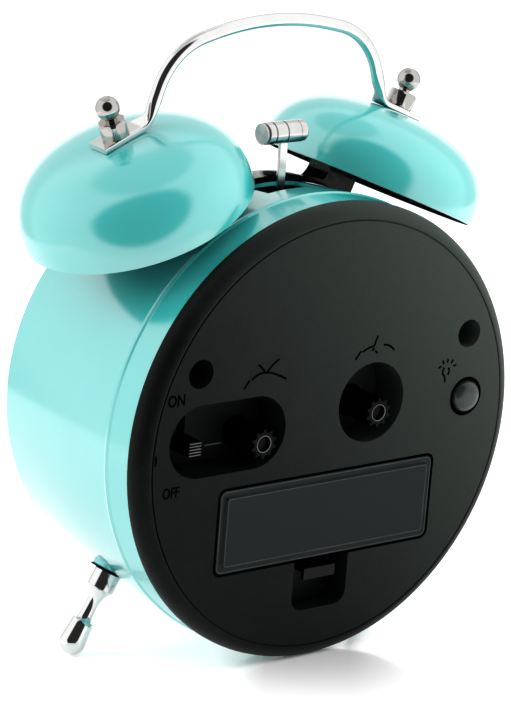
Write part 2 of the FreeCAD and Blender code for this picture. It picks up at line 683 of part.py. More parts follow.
def lean_placement():
    """The stand: the rounded rim of the cover and both bulbs touch the ground, and the origin is
    below the middle of the clock's depth."""
    rim, bulb = size("cover_rim_round"), size("foot_bulb_radius")
    foot = foot_local(1).multVec(Vector(0, 0, size("foot_length - foot_bulb_radius")))
    rim_z = -size("cover_radius - cover_rim_round")
    rise, run = rim_z - foot.z, -foot.y
    lean = math.atan2(rise, run) - math.asin((rim - bulb) / math.hypot(rise, run))
    height = -rim_z * math.cos(lean) + rim
    back = -rim_z * math.sin(lean) + rim
    bezel_y = -size("drum_depth + bezel_depth - bezel_round")
    bezel_z = -size("bezel_radius - bezel_round")
    front = bezel_y * math.cos(lean) + bezel_z * math.sin(lean) - size("bezel_round")
    return Placement(Vector(0, -(front + back) / 2, height), Rotation(Vector(1, 0, 0), -math.degrees(lean)))


# Heights along the drum's axis, rear face first, of the layers inside the movement
REAR_WALL = "-(movement_setback + movement_wall)"
SECOND_REAR = REAR_WALL + " - layer_gap"
SECOND_FRONT = SECOND_REAR + " - wheel_thickness"
STEP_REAR = SECOND_FRONT + " - layer_gap"
STEP_FRONT = STEP_REAR + " - wheel_thickness"
THIRD_REAR = STEP_FRONT + " - layer_gap"
THIRD_FRONT = THIRD_REAR + " - wheel_thickness"
CENTRE_REAR = THIRD_FRONT + " - layer_gap"
CENTRE_FRONT = CENTRE_REAR + " - wheel_thickness"
BRIDGE_REAR = "-bridge_plate_setback"
BRIDGE_FRONT = "-(bridge_plate_setback + bridge_plate_thickness)"
WORK_REAR = BRIDGE_FRONT + " - layer_gap"
WORK_FRONT = WORK_REAR + " - work_wheel_thickness"
HOUR_REAR = WORK_FRONT + " - layer_gap * 2"
HOUR_FRONT = HOUR_REAR + " - work_wheel_thickness"
ALARM_REAR = HOUR_FRONT + " - layer_gap * 2"
ALARM_FRONT = ALARM_REAR + " - work_wheel_thickness"
PLATE_REAR = "-(movement_setback + movement_depth - plate_thickness)"
PLATE_FRONT = "-(movement_setback + movement_depth)"

# Heights of the hands in front of the dial
ALARM_HAND = "-(dial_setback + hand_gap)"
HOUR_HAND = ALARM_HAND + " - hand_thickness - hand_gap"
MINUTE_HAND = HOUR_HAND + " - hand_thickness - hand_gap"
SECOND_HAND = MINUTE_HAND + " - hand_thickness - hand_gap"

CARRIER_REAR = "-(dial_setback - dial_thickness - carrier_thickness)"
CARRIER_FRONT = "-(dial_setback - dial_thickness)"
LIGHT_FLANGE_REAR = "cover_rim_round - cover_plate * 1.5 - door_gap"
LIGHT_SWITCH_REAR = LIGHT_FLANGE_REAR + " - light_flange - light_travel - door_gap"
LIGHT_BOARD_REAR = LIGHT_SWITCH_REAR + " - light_switch_height"
FACE = "cover_rim_round"
PLATE_INSIDE = "cover_rim_round - cover_plate"


def case_drum():
    """Painted sheet drum: crease near the back, gentle taper to the front, lip turned in."""
    body = new_body("drum")
    section = sketch_on(body, "drum_section", "XY_Plane")
    outline(section, [
        ("drum_rear_radius", "-cover_skirt"),
        ("drum_bead_radius", "-drum_bead_setback"),
        ("drum_front_radius", "-drum_depth"),
        ("drum_front_radius - drum_lip", "-drum_depth"),
        ("drum_front_radius - drum_lip", "-drum_depth + drum_wall"),
        ("drum_front_radius - drum_wall", "-drum_depth + drum_wall"),
        ("drum_bead_radius - drum_wall", "-drum_bead_setback"),
        ("drum_rear_radius - drum_wall", "-cover_skirt"),
    ])
    revolution(body, section, "drum_turning")
    slot = sketch_on(body, "hammer_slot", "XY_Plane")
    box_outline(slot, "-slot_half_width", "slot_half_width", "-(slot_setback + slot_length)", "-slot_setback")
    pocket(body, slot, "hammer_slot_cut", "cover_radius")
    bosses, holes = [], []
    for label, side in SIDES:
        seat = foot_local(side)
        inward = seat.Rotation.multVec(Vector(0, 0, -1))
        for target, radius, height in (
                (bosses, "foot_washer_radius", "foot_boss_height"), (holes, "foot_stud_radius", "foot_stud_length")):
            bar = doc.addObject("Part::Cylinder", "foot_seat_" + label)
            bind(bar, "Radius", radius)
            bind(bar, "Height", height)
            bar.Placement = Placement(seat.Base, Rotation(Vector(0, 0, 1), inward))
            target.append(bar)
    node(cut("case_drum_cut", fuse("drum_with_bosses", [body] + bosses), holes), "case_drum")


def front_bezel():
    """Chromed ring that holds the lens against the drum's lip."""
    body = new_body("bezel")
    section = sketch_on(body, "bezel_section", "XY_Plane")
    outline(section, [
        ("bezel_radius", "-drum_depth"),
        ("bezel_radius", "-(drum_depth + bezel_depth - bezel_round)", "bezel_round", -1),
        ("bezel_radius - bezel_round", "-(drum_depth + bezel_depth)"),
        ("bezel_opening + bezel_round / 2", "-(drum_depth + bezel_depth)"),
        ("bezel_opening", "-(drum_depth + lens_thickness + lens_crown)"),
        ("bezel_opening", "-(drum_depth + lens_thickness + seat_gap)"),
        ("lens_radius + seat_gap", "-(drum_depth + lens_thickness + seat_gap)"),
        ("lens_radius + seat_gap", "-drum_depth"),
    ])
    revolution(body, section, "bezel_turning")
    node(body, "front_bezel")


def dial_lens():
    """Clear lens, flat at its edge and slightly domed inside the bezel."""
    flat = size("bezel_opening - seat_gap")
    crown, thickness = size("lens_crown"), size("lens_thickness")
    front = -size("drum_depth")
    sphere = (flat * flat + crown * crown) / (2 * crown)
    edges = []
    for depth in (0, thickness):
        height = front - depth
        middle_angle = math.asin(flat / sphere) / 2
        middle = Vector(sphere * math.sin(middle_angle), height - crown + sphere * (1 - math.cos(middle_angle)), 0)
        arc = Part.Arc(Vector(0, height - crown, 0), middle, Vector(flat, height, 0))
        edges.append(arc.toShape())
        edges.append(Part.LineSegment(Vector(flat, height, 0), Vector(size("lens_radius"), height, 0)).toShape())
    for reach, drop in ((0, crown), (size("lens_radius"), 0)):
        edges.append(Part.LineSegment(
            Vector(reach, front - drop, 0), Vector(reach, front - thickness - drop, 0)).toShape())
    face = Part.Face(Part.Wire(Part.__sortEdges__(edges)))
    solid = face.revolve(Vector(0, 0, 0), Vector(0, 1, 0), 360)
    node(shape_feature("lens_shape", solid), "dial_lens")


def dial_parts():
    """Ring between lens and dial, the dial disc, and the carrier with its posts and pillars."""
    ring = new_body("dial_ring")
    section = sketch_on(ring, "dial_ring_section", "XY_Plane")
    outline(section, [
        ("dial_radius", "-(drum_depth - drum_wall)"),
        ("dial_radius", "-dial_setback"),
        ("bezel_opening - ring_slope", "-dial_setback"),
        ("bezel_opening", "-(drum_depth - drum_wall)"),
    ])
    revolution(ring, section, "dial_ring_turning")
    node(ring, "dial_ring")
    dial = new_body("dial")
    disc = sketch_on(dial, "dial_outline", "XZ_Plane", "dial_setback - dial_thickness")
    ring_outline(disc, "0", "0", "dial_radius")
    ring_outline(disc, "0", "0", "dial_opening")
    pad(dial, disc, "dial_disc", "dial_thickness")
    node(dial, "dial")
    carrier = new_body("dial_carrier")
    section = sketch_on(carrier, "carrier_section", "XY_Plane")
    outline(section, [
        ("dial_opening", CARRIER_FRONT),
        ("dial_opening", CARRIER_REAR),
        ("dial_radius - ring_wall", CARRIER_REAR),
        ("dial_radius - ring_wall", CARRIER_REAR + " + carrier_rim"),
        ("dial_radius", CARRIER_REAR + " + carrier_rim"),
        ("dial_radius", CARRIER_FRONT),
    ])
    revolution(carrier, section, "carrier_turning")
    posts = sketch_on(carrier, "carrier_posts", "XZ_Plane", "dial_setback - dial_thickness - carrier_thickness")
    for side in ("-", ""):
        ring_outline(posts, side + "screw_well_x", "screw_well_z", "carrier_post_radius")
    pad(carrier, posts, "carrier_posts_raised",
        "dial_setback - dial_thickness - carrier_thickness + cover_rim_round - screw_well_depth - well_wall",
        backwards=True)
    pillars = sketch_on(carrier, "carrier_pillars", "XZ_Plane", "dial_setback - dial_thickness - carrier_thickness")
    for side in ("-", ""):
        for level in ("pillar_low_z", "pillar_high_z"):
            ring_outline(pillars, side + "pillar_x", level, "pillar_radius")
    pad(carrier, pillars, "carrier_pillars_raised",
        "dial_setback - dial_thickness - carrier_thickness - movement_setback - movement_depth", backwards=True)
    holes = sketch_on(carrier, "carrier_screw_holes", "XZ_Plane", "screw_well_depth - cover_rim_round")
    for side in ("-", ""):
        ring_outline(holes, side + "screw_well_x", "screw_well_z", "cover_screw_radius")
    pocket(carrier, holes, "carrier_screw_holes_cut", "cover_screw_length")
    small = sketch_on(carrier, "carrier_pillar_holes", "XZ_Plane", "movement_setback")
    for side in ("-", ""):
        for level in ("pillar_low_z", "pillar_high_z"):
            ring_outline(small, side + "pillar_x", level, "movement_screw_radius")
    pocket(carrier, small, "carrier_pillar_holes_cut", "movement_depth + pillar_radius * 2")
    lamp = sketch_on(carrier, "carrier_lamp_hole", "XZ_Plane", "dial_setback - dial_thickness - carrier_thickness")
    ring_outline(lamp, "0", "led_z", "led_radius")
    pocket(carrier, lamp, "carrier_lamp_hole_cut", "carrier_thickness")
    node(carrier, "dial_carrier")
    lamp_rear = CARRIER_REAR + " + led_length - carrier_thickness"
    bulb = rod("lamp_bulb", "led_radius", lamp_rear, CARRIER_FRONT, "0", "led_z")
    collar = rod("lamp_collar", "led_radius * 1.2", lamp_rear, CARRIER_REAR, "0", "led_z")
    node(fuse("lamp", [bulb, collar]), "dial_lamp")


def rear_cover():
    """Black moulded rear cover: rounded rim, spigot, recesses, battery compartment and latch recess."""
    body = new_body("cover")
    section = sketch_on(body, "cover_section", "XY_Plane")
    outline(section, [
        ("0", FACE),
        ("0", PLATE_INSIDE),
        ("cover_radius - cover_rim_round - cover_plate", PLATE_INSIDE),
        ("drum_rear_radius - drum_wall - seat_gap - spigot_wall", "-cover_skirt"),
        ("drum_rear_radius - drum_wall - seat_gap - spigot_wall", "-spigot_depth"),
        ("drum_rear_radius - drum_wall - seat_gap", "-spigot_depth"),
        ("drum_rear_radius - drum_wall - seat_gap", "-cover_skirt"),
        ("cover_radius", "-cover_skirt"),
        ("cover_radius", "0", "cover_rim_round", 1),
        ("cover_radius - cover_rim_round", FACE),
    ])
    revolution(body, section, "cover_turning")
    walls = sketch_on(body, "recess_walls", "XZ_Plane", "cover_plate - cover_rim_round")
    slot_outline(walls, "stadium_centre_x - stadium_half_run", "stadium_centre_x + stadium_half_run",
                 "stadium_centre_z", "stadium_radius + well_wall")
    ring_outline(walls, "alarm_well_x", "alarm_well_z", "alarm_well_radius + well_wall")
    pad(body, walls, "recess_walls_raised", "well_depth + well_wall - cover_plate")
    bosses = sketch_on(body, "screw_bosses", "XZ_Plane", "cover_plate - cover_rim_round")
    for side in ("-", ""):
        ring_outline(bosses, side + "screw_well_x", "screw_well_z", "screw_well_radius + well_wall")
    pad(body, bosses, "screw_bosses_raised", "screw_well_depth + well_wall - cover_plate")
    compartment = sketch_on(body, "compartment_walls", "XZ_Plane", "cover_plate - cover_rim_round")
    box_outline(compartment, "-(door_half_width - door_ledge + well_wall)", "door_half_width - door_ledge + well_wall",
                "door_bottom_z + door_ledge - well_wall", "door_top_z - door_ledge + well_wall")
    pad(body, compartment, "compartment_raised", "battery_well_depth + well_wall - cover_plate")
    latch = sketch_on(body, "latch_walls", "XZ_Plane", "cover_plate - cover_rim_round")
    box_outline(latch, "-(latch_half_width + well_wall)", "latch_half_width + well_wall",
                "latch_bottom_z - well_wall", "door_bottom_z + door_ledge")
    pad(body, latch, "latch_raised", "latch_depth + well_wall - cover_plate")
    sleeve = sketch_on(body, "light_sleeve", "XZ_Plane", "cover_plate - cover_rim_round")
    ring_outline(sleeve, "light_button_x", "light_button_z", "light_well_radius + well_wall / 2")
    pad(body, sleeve, "light_sleeve_raised", "cover_plate / 2")
    posts = sketch_on(body, "light_posts", "XZ_Plane", "cover_plate - cover_rim_round")
    for sign in ("-", "+"):
        ring_outline(posts, "light_button_x", "light_button_z %s light_post_reach" % sign, "light_post_radius")
    pad(body, posts, "light_posts_raised", PLATE_INSIDE + " - (%s)" % LIGHT_BOARD_REAR)
    recesses = sketch_on(body, "recesses", "XZ_Plane", "-cover_rim_round")
    slot_outline(recesses, "stadium_centre_x - stadium_half_run", "stadium_centre_x + stadium_half_run",
                 "stadium_centre_z", "stadium_radius")
    ring_outline(recesses, "alarm_well_x", "alarm_well_z", "alarm_well_radius")
    pocket(body, recesses, "recesses_cut", "well_depth")
    wells = sketch_on(body, "screw_wells", "XZ_Plane", "-cover_rim_round")
    for side in ("-", ""):
        ring_outline(wells, side + "screw_well_x", "screw_well_z", "screw_well_radius")
    pocket(body, wells, "screw_wells_cut", "screw_well_depth")
    screws = sketch_on(body, "screw_holes", "XZ_Plane", "-cover_rim_round")
    for side in ("-", ""):
        ring_outline(screws, side + "screw_well_x", "screw_well_z", "cover_screw_radius")
    pocket(body, screws, "screw_holes_cut", "screw_well_depth + well_wall")
    holes = sketch_on(body, "knob_holes", "XZ_Plane", "-cover_rim_round")
    ring_outline(holes, "time_knob_x", "time_knob_z", "knob_radius + layer_gap")
    ring_outline(holes, "alarm_knob_x", "alarm_knob_z", "knob_radius + layer_gap")
    box_outline(holes, "slider_x - slider_stem_half_width - door_gap", "slider_x + slider_stem_half_width + door_gap",
                "slider_z - slider_stem_half_width - door_gap",
                "slider_z + slider_travel + slider_stem_half_width + door_gap")
    pocket(body, holes, "knob_holes_cut", "well_depth + well_wall")
    seat = sketch_on(body, "door_seat", "XZ_Plane", "-cover_rim_round")
    box_outline(seat, "-(door_half_width + door_gap)", "door_half_width + door_gap",
                "door_bottom_z - door_gap", "door_top_z + door_gap")
    pocket(body, seat, "door_seat_cut", "cover_plate")
    inside = sketch_on(body, "compartment", "XZ_Plane", "-cover_rim_round")
    box_outline(inside, "-(door_half_width - door_ledge)", "door_half_width - door_ledge",
                "door_bottom_z + door_ledge", "door_top_z - door_ledge")
    pocket(body, inside, "compartment_cut", "battery_well_depth")
    hooks = sketch_on(body, "hook_notches", "XZ_Plane", "door_tab_thickness - cover_rim_round + door_gap * 2")
    for side in (-1, 1):
        middle = "%d * door_tab_x" % side
        box_outline(hooks, middle + " - door_tab_half_width - door_gap", middle + " + door_tab_half_width + door_gap",
                    "door_top_z - door_ledge", "door_top_z + door_tab_reach + door_gap * 2")
    pocket(body, hooks, "hook_notches_cut", "cover_plate + door_tab_reach")
    tongue = sketch_on(body, "latch_recess", "XZ_Plane", "-cover_rim_round")
    outline(tongue, [
        ("-latch_half_width", "door_bottom_z + door_ledge"),
        ("-latch_half_width", "latch_bottom_z + latch_corner", "latch_corner", 1),
        ("-latch_half_width + latch_corner", "latch_bottom_z"),
        ("latch_half_width - latch_corner", "latch_bottom_z", "latch_corner", 1),
        ("latch_half_width", "latch_bottom_z + latch_corner"),
        ("latch_half_width", "door_bottom_z + door_ledge"),
    ])
    pocket(body, tongue, "latch_recess_cut", "latch_depth")
    light = sketch_on(body, "light_dish", "XZ_Plane", "-cover_rim_round")
    ring_outline(light, "light_button_x", "light_button_z", "light_well_radius")
    pocket(body, light, "light_dish_cut", "light_dish_depth")
    bore = sketch_on(body, "light_bore", "XZ_Plane", "-cover_rim_round")
    ring_outline(bore, "light_button_x", "light_button_z", "light_button_radius + light_button_gap")
    pocket(body, bore, "light_bore_cut", "cover_plate * 2")
    groove = sketch_on(body, "face_groove", "XZ_Plane", "-cover_rim_round")
    ring_outline(groove, "0", "0", "cover_groove_radius")
    ring_outline(groove, "0", "0", "cover_groove_radius - cover_groove_width")
    pocket(body, groove, "face_groove_cut", "cover_groove_width")
    node(body, "rear_cover")


def battery_parts():
    """Door with hooks, raised panel and springy tongue, the cell and its two contacts."""
    door = new_body("door")
    plate = sketch_on(door, "door_outline", "XZ_Plane", "cover_plate - cover_rim_round")
    outline(plate, rounded_box("door_half_width", "door_bottom_z", "door_top_z", "door_corner"))
    pad(door, plate, "door_plate", "cover_plate", backwards=True)
    panel = sketch_on(door, "door_panel", "XZ_Plane", "-cover_rim_round")
    outline(panel, rounded_box("door_half_width - door_border", "door_bottom_z + door_border",
                               "door_top_z - door_border", "door_corner / 2"))
    raised = pad(door, panel, "door_panel_raised", "door_raise", backwards=True)
    raised.TaperAngle = -35
    hooks = sketch_on(door, "door_hooks", "XZ_Plane", "cover_plate - cover_rim_round")
    for side in (-1, 1):
        middle = "%d * door_tab_x" % side
        box_outline(hooks, middle + " - door_tab_half_width", middle + " + door_tab_half_width",
                    "door_top_z - door_tab_reach", "door_top_z + door_tab_reach")
    pad(door, hooks, "door_hooks_raised", "door_tab_thickness", backwards=True)
    fold = sketch_on(door, "tongue_fold", "YZ_Plane")
    outline(fold, [
        (PLATE_INSIDE, "door_bottom_z + tongue_thickness"),
        (PLATE_INSIDE, "door_bottom_z"),
        (PLATE_INSIDE + " - tongue_drop + tongue_thickness", "door_bottom_z"),
        (PLATE_INSIDE + " - tongue_drop + tongue_thickness", "door_bottom_z - tongue_run + tongue_thickness"),
        ("cover_rim_round - cover_groove_width", "door_bottom_z - tongue_run + tongue_thickness"),
        ("cover_rim_round - cover_groove_width", "door_bottom_z - tongue_run - tongue_lip"),
        ("cover_rim_round - cover_groove_width - tongue_thickness", "door_bottom_z - tongue_run - tongue_lip"),
        ("cover_rim_round - cover_groove_width - tongue_thickness", "door_bottom_z - tongue_run"),
        (PLATE_INSIDE + " - tongue_drop", "door_bottom_z - tongue_run"),
        (PLATE_INSIDE + " - tongue_drop", "door_bottom_z + tongue_thickness"),
    ])
    pad(door, fold, "tongue", "tongue_half_width * 2", middle=True)
    node(door, "battery_door")
    centre_y = PLATE_INSIDE + " - battery_play - battery_radius"
    centre_z = "(door_top_z + door_bottom_z) / 2"
    y, z = size(centre_y), size(centre_z)
    half = size("battery_length / 2")
    can = Part.makeCylinder(size("battery_radius"), size("battery_length - battery_cap_height"),
                            Vector(-half, y, z), Vector(1, 0, 0))
    cap = Part.makeCylinder(size("battery_cap_radius"), size("battery_cap_height"),
                            Vector(half - size("battery_cap_height"), y, z), Vector(1, 0, 0))
    node(shape_feature("cell_shape", can.fuse(cap)), "battery_cell")
    end = "door_half_width - door_ledge"
    for label, side in (("positive", 1), ("negative", -1)):
        wall = side * size(end)
        tip = side * size("battery_length / 2")
        sheet_thickness = side * size("contact_thickness")
        low, high = size(centre_y + " - contact_height / 2"), size(centre_y + " + contact_height / 2")
        points = [(wall, low), (wall, high), (wall - sheet_thickness, high),
                  (tip, y + size("contact_thickness")), (tip, y - size("contact_thickness")),
                  (wall - sheet_thickness, low + size("contact_thickness") * 2), (wall - sheet_thickness, low)]
        inner = [(wall - sheet_thickness, high - size("contact_thickness") * 2),
                 (tip + sheet_thickness, y),
                 (wall - sheet_thickness, low + size("contact_thickness") * 3)]
        width = size("contact_half_width")
        faces = [Part.Face(Part.makePolygon([Vector(px, py, z - width) for px, py in ring + ring[:1]]))
                 for ring in (points, inner)]
        solid = faces[0].cut(faces[1]).extrude(Vector(0, 0, 2 * width))
        node(shape_feature("contact_shape_" + label, solid), "contact_" + label)


def rounded_box(half_width, bottom, top, radius):
    """Outline of a plate with rounded corners, symmetric about the middle."""
    inner = "%s - (%s)" % (half_width, radius)
    low, high = "%s + %s" % (bottom, radius), "%s - %s" % (top, radius)
    return [
        ("-(%s)" % inner, bottom), (inner, bottom, radius, 1),
        (half_width, low), (half_width, high, radius, 1),
        (inner, top), ("-(%s)" % inner, top, radius, 1),
        ("-(%s)" % half_width, high), ("-(%s)" % half_width, low, radius, 1),
    ]


def bells():
    """Two domed bells on leaning axes. The section is a rounded curve: radius times cosine and height
    times sine, each to the power two over the exponent."""
    radius, height, power = size("bell_radius"), size("bell_height"), size("bell_power")
    wall = size("bell_wall")

    def section(reach, rise):
        points = []
        for step in range(BELL_STATIONS):
            angle = math.pi / 2 * step / (BELL_STATIONS - 1)
            across = reach * max(math.cos(angle), 0) ** (2 / power) if step < BELL_STATIONS - 1 else 0
            points.append(Vector(across, 0, rise * math.sin(angle) ** (2 / power)))
        curve = Part.BSplineCurve()
        curve.interpolate(Points=points, InitialTangent=Vector(0, 0, 1), FinalTangent=Vector(-1, 0, 0))
        return curve.toShape()

    outer, inner = section(radius, height), section(radius - wall, height - wall)
    bottom = Part.LineSegment(Vector(radius - wall, 0, 0), Vector(radius, 0, 0)).toShape()
    top = Part.LineSegment(Vector(0, 0, height - wall), Vector(0, 0, height)).toShape()
    face = Part.Face(Part.Wire(Part.__sortEdges__([outer, inner, bottom, top])))
    dome = face.revolve(Vector(0, 0, 0), Vector(0, 0, 1), 360)
    hole = Part.makeCylinder(size("stud_radius"), height, Vector(0, 0, height / 2), Vector(0, 0, 1))
    dome = dome.cut(hole)
    for label, side in SIDES:
        node(shape_feature("bell_shape_" + label, dome.copy()), "bell_" + label, bell_local(side))


def bell_bridge():
    """Glossy black saddle on the drum with a hollow-footed post into each bell."""
    slope = "(drum_bead_radius - drum_front_radius) / (drum_depth - drum_bead_setback)"
    surface = "drum_bead_radius - (%s - drum_bead_setback) * " + slope + " + seat_gap"
    front = "bridge_front_setback"
    rear = "(bridge_front_setback - bridge_width)"
    body = new_body("bell_bridge")
    section = sketch_on(body, "saddle_section", "YZ_Plane")
    outline(section, [
        ("-" + front, surface % front),
        ("-" + rear, surface % rear),
        ("-" + rear, surface % rear + " + bridge_thickness"),
        ("-" + front, surface % front + " + bridge_thickness"),
    ])
    revolution(body, section, "saddle", axis="H_Axis", angle="bridge_angle * 1 deg")
    posts = []
    tilt = math.radians(size("bell_tilt"))
    crown = size("bell_height - bell_wall - seat_gap")
    half = size("post_top_half_width")
    for label, side in SIDES:
        axis = Vector(side * math.sin(tilt), 0, math.cos(tilt))
        across = Vector(side * math.cos(tilt), 0, -math.sin(tilt))
        centre = bell_local(side).Base
        top = centre + axis * crown
        corners = [
            Vector(side * size("post_toe_x"), 0, 0),
            Vector(side * size("post_neck_x"), 0, size("post_neck_z")),
            top - across * half, top + across * half,
            Vector(side * size("post_side_x"), 0, size("post_side_z")),
            Vector(side * size("post_heel_x"), 0, size("post_heel_z")),
        ]
        seat = drum_surface(size("bell_setback")) + size("seat_gap")
        toe_angle = math.asin(size("post_toe_x") / seat)
        corners[0] = Vector(side * seat * math.sin(toe_angle), 0, seat * math.cos(toe_angle))
        for corner in corners:
            corner.y = -size("bell_setback + post_depth / 2")
        toe, neck = corners[0], corners[1]
        middle = (toe + neck) * 0.5
        chord = neck - toe
        normal = Vector(-chord.z, 0, chord.x).normalize() * side
        radius = size("post_flare_radius")
        sag = radius - math.sqrt(max(radius * radius - chord.Length ** 2 / 4, 0))
        edges = [Part.Arc(toe, middle - normal * sag, neck).toShape()]
        for start, end in zip(corners[1:], corners[2:]):
            edges.append(Part.LineSegment(start, end).toShape())
        heel = corners[-1]
        under = Vector(side * size("post_heel_x") * 0.5 + toe.x * 0.5, toe.y, 0)
        under.z = math.sqrt(seat ** 2 - under.x ** 2)
        heel_reach = math.hypot(heel.x, heel.z)
        foot = Vector(heel.x * seat / heel_reach, heel.y, heel.z * seat / heel_reach)
        if heel_reach > seat + size("seat_gap"):
            edges.append(Part.LineSegment(heel, foot).toShape())
        else:
            foot = heel
        edges.append(Part.Arc(foot, under, toe).toShape())
        face = Part.Face(Part.Wire(Part.__sortEdges__(edges)))
        posts.append(face.extrude(Vector(0, size("post_depth"), 0)))
    post_piece = group("bell_posts", posts)
    drum_clear = doc.addObject("Part::Cone", "drum_under_posts")
    bind(drum_clear, "Radius1", "drum_front_radius + seat_gap")
    bind(drum_clear, "Radius2", "drum_bead_radius + seat_gap")
    bind(drum_clear, "Height", "drum_depth - drum_bead_setback")
    drum_clear.Placement = Placement(Vector(0, 0, 0), Rotation(Vector(1, 0, 0), -90))
    bind(drum_clear, "Placement.Base.y", "-drum_depth")
    holes = []
    for label, side in SIDES:
        bar = doc.addObject("Part::Cylinder", "stud_hole_" + label)
        bind(bar, "Radius", "stud_radius")
        bind(bar, "Height", "stud_length")
        local = bell_local(side)
        bar.Placement = Placement(
            local.multVec(Vector(0, 0, size("bell_height - stud_length"))), local.Rotation)
        holes.append(bar)
    node(cut("bell_bridge_cut", fuse("bell_bridge_joined", [body, post_piece]), [drum_clear] + holes), "bell_bridge")


def studs_and_nuts():
    """Studs through posts, bells and handle, with hexagon nuts and ball ends on the handle's tabs."""
    top = size("bell_height + handle_thickness")
    seat_z = size("bell_height - stud_length")
    studs, nuts = [], []
    nut_top = top + size("nut_height")
    ball_centre = nut_top + size("neck_height") + size("ball_radius") * 0.8
    ball_radius = size("ball_radius")
    cap = math.sqrt(ball_radius ** 2 - size("ball_flat_radius") ** 2)
    for label, side in SIDES:
        local = bell_local(side)
        stud = Part.makeCylinder(size("stud_radius"), top - seat_z, Vector(0, 0, seat_z))
        nut = Part.Face(Part.makePolygon([
            Vector(size("nut_radius") * math.cos(math.radians(60 * step)),
                   size("nut_radius") * math.sin(math.radians(60 * step)), top) for step in range(7)]))
        nut = nut.extrude(Vector(0, 0, size("nut_height")))
        cone = Part.makeCone(size("nut_radius + nut_chamfer") + size("nut_height"), size("nut_radius - nut_chamfer"),
                             size("nut_height + nut_chamfer * 2"), Vector(0, 0, top - size("nut_chamfer * 2")))
        nut = nut.common(cone)
        neck = Part.makeCylinder(size("neck_radius"), ball_centre - nut_top, Vector(0, 0, nut_top))
        ball = Part.makeSphere(ball_radius, Vector(0, 0, ball_centre), Vector(0, 0, 1), -60,
                               math.degrees(math.asin(cap / ball_radius)))
        end = nut.fuse([neck, ball]).removeSplitter()
        for shape, pile in ((stud, studs), (end, nuts)):
            shape.Placement = local
            pile.append(shape)
    node(group("studs_shape", studs), "bell_studs")
    node(group("nuts_shape", nuts), "handle_nuts")


def bent_wire(corners, radii, across):
    """Straight runs joined by arcs through corners of (x, z), in the plane at that place along Y."""
    points = [Vector(x, across, z) for x, z in corners]
    edges = []
    before = points[0]
    for index, bend in enumerate(radii, start=1):
        arriving = (points[index] - points[index - 1]).normalize()
        leaving = (points[index + 1] - points[index]).normalize()
        turn = arriving.getAngle(leaving)
        run = bend * math.tan(turn / 2)
        start = points[index] - arriving * run
        finish = points[index] + leaving * run
        inward = (leaving - arriving).normalize()
        centre = points[index] + inward * (bend / math.cos(turn / 2))
        edges.append(Part.LineSegment(before, start).toShape())
        edges.append(Part.Arc(start, centre - inward * bend, finish).toShape())
        before = finish
    edges.append(Part.LineSegment(before, points[-1]).toShape())
    return Part.Wire(edges)


def handle():
    """Chromed round rod with a shallow crown and lean legs; its ends are pressed flat and bent onto both bells."""
    thickness = size("handle_thickness")
    rod = size("handle_rod_radius")
    plane = -size("handle_rod_setback")
    tilt = math.radians(size("bell_tilt"))
    local = bell_local(1)
    axis = Vector(math.sin(tilt), 0, math.cos(tilt))
    across = Vector(math.cos(tilt), 0, -math.sin(tilt))
    seat = local.Base + axis * size("bell_height + handle_thickness / 2")
    end = seat + across * size("handle_tab")
    bend = seat - across * size("handle_heel")
    lean = math.radians(size("handle_leg_angle"))
    upward = Vector(-math.sin(lean), 0, math.cos(lean))
    shoulder_z = size("handle_shoulder_z")
    shoulder_x = bend.x - (shoulder_z - bend.z) * math.tan(lean)
    crown_z = shoulder_z + shoulder_x * math.tan(math.radians(size("handle_crown_angle")))
    flare_start = bend + upward * size("handle_bend_radius") * math.tan((math.pi / 2 - lean - tilt) / 2)
    flare_end = bend + upward * size("handle_flare")
    pieces = []
    for label, side in SIDES:
        places = [(side * place.x, place.z) for place in (end, bend, flare_end)]
        pieces.append(strip_solid(
            places, [size("handle_bend_radius")], thickness, -size("bell_setback"), size("handle_width")))
    front = -size("bell_setback + handle_width / 2")
    rear = -size("bell_setback - handle_width / 2")
    fan = Part.Face(Part.makePolygon([Vector(0, y, z) for y, z in (
        (front, 0), (rear, 0), (rear, bend.z), (plane + rod, flare_end.z), (plane - rod, flare_end.z),
        (front, bend.z), (front, 0))]))
    reach = size("bell_centre_x + bell_radius")
    ends = fan.extrude(Vector(reach, 0, 0)).fuse(fan.extrude(Vector(-reach, 0, 0)))
    tabs = [strip.common(ends) for strip in pieces]
    for label, side in SIDES:
        foot = Vector(side * flare_start.x, plane, flare_start.z)
        way = Vector(side * upward.x, 0, upward.z)
        tabs.append(Part.makeCone(thickness / 2, rod, (flare_end - flare_start).Length, foot, way))
    right = [(flare_end.x, flare_end.z), (shoulder_x, shoulder_z)]
    left = [(-x, z) for x, z in reversed(right)]
    radii = [size("handle_shoulder_radius"), size("handle_crown_radius"), size("handle_shoulder_radius")]
    path = bent_wire(right + [(0, crown_z)] + left, radii, plane)
    start = Vector(flare_end.x, plane, flare_end.z)
    ring = Part.Wire(Part.makeCircle(rod, start, upward))
    shape = path.makePipeShell([ring], True, False)
    for piece in tabs:
        shape = shape.fuse(piece)
    for label, side in SIDES:
        hole = Part.makeCylinder(size("stud_radius"), size("bell_height"), Vector(0, 0, size("bell_height / 2")))
        hole.Placement = bell_local(side)
        shape = shape.cut(hole)
    node(shape_feature("handle_shape", shape.removeSplitter()), "handle")


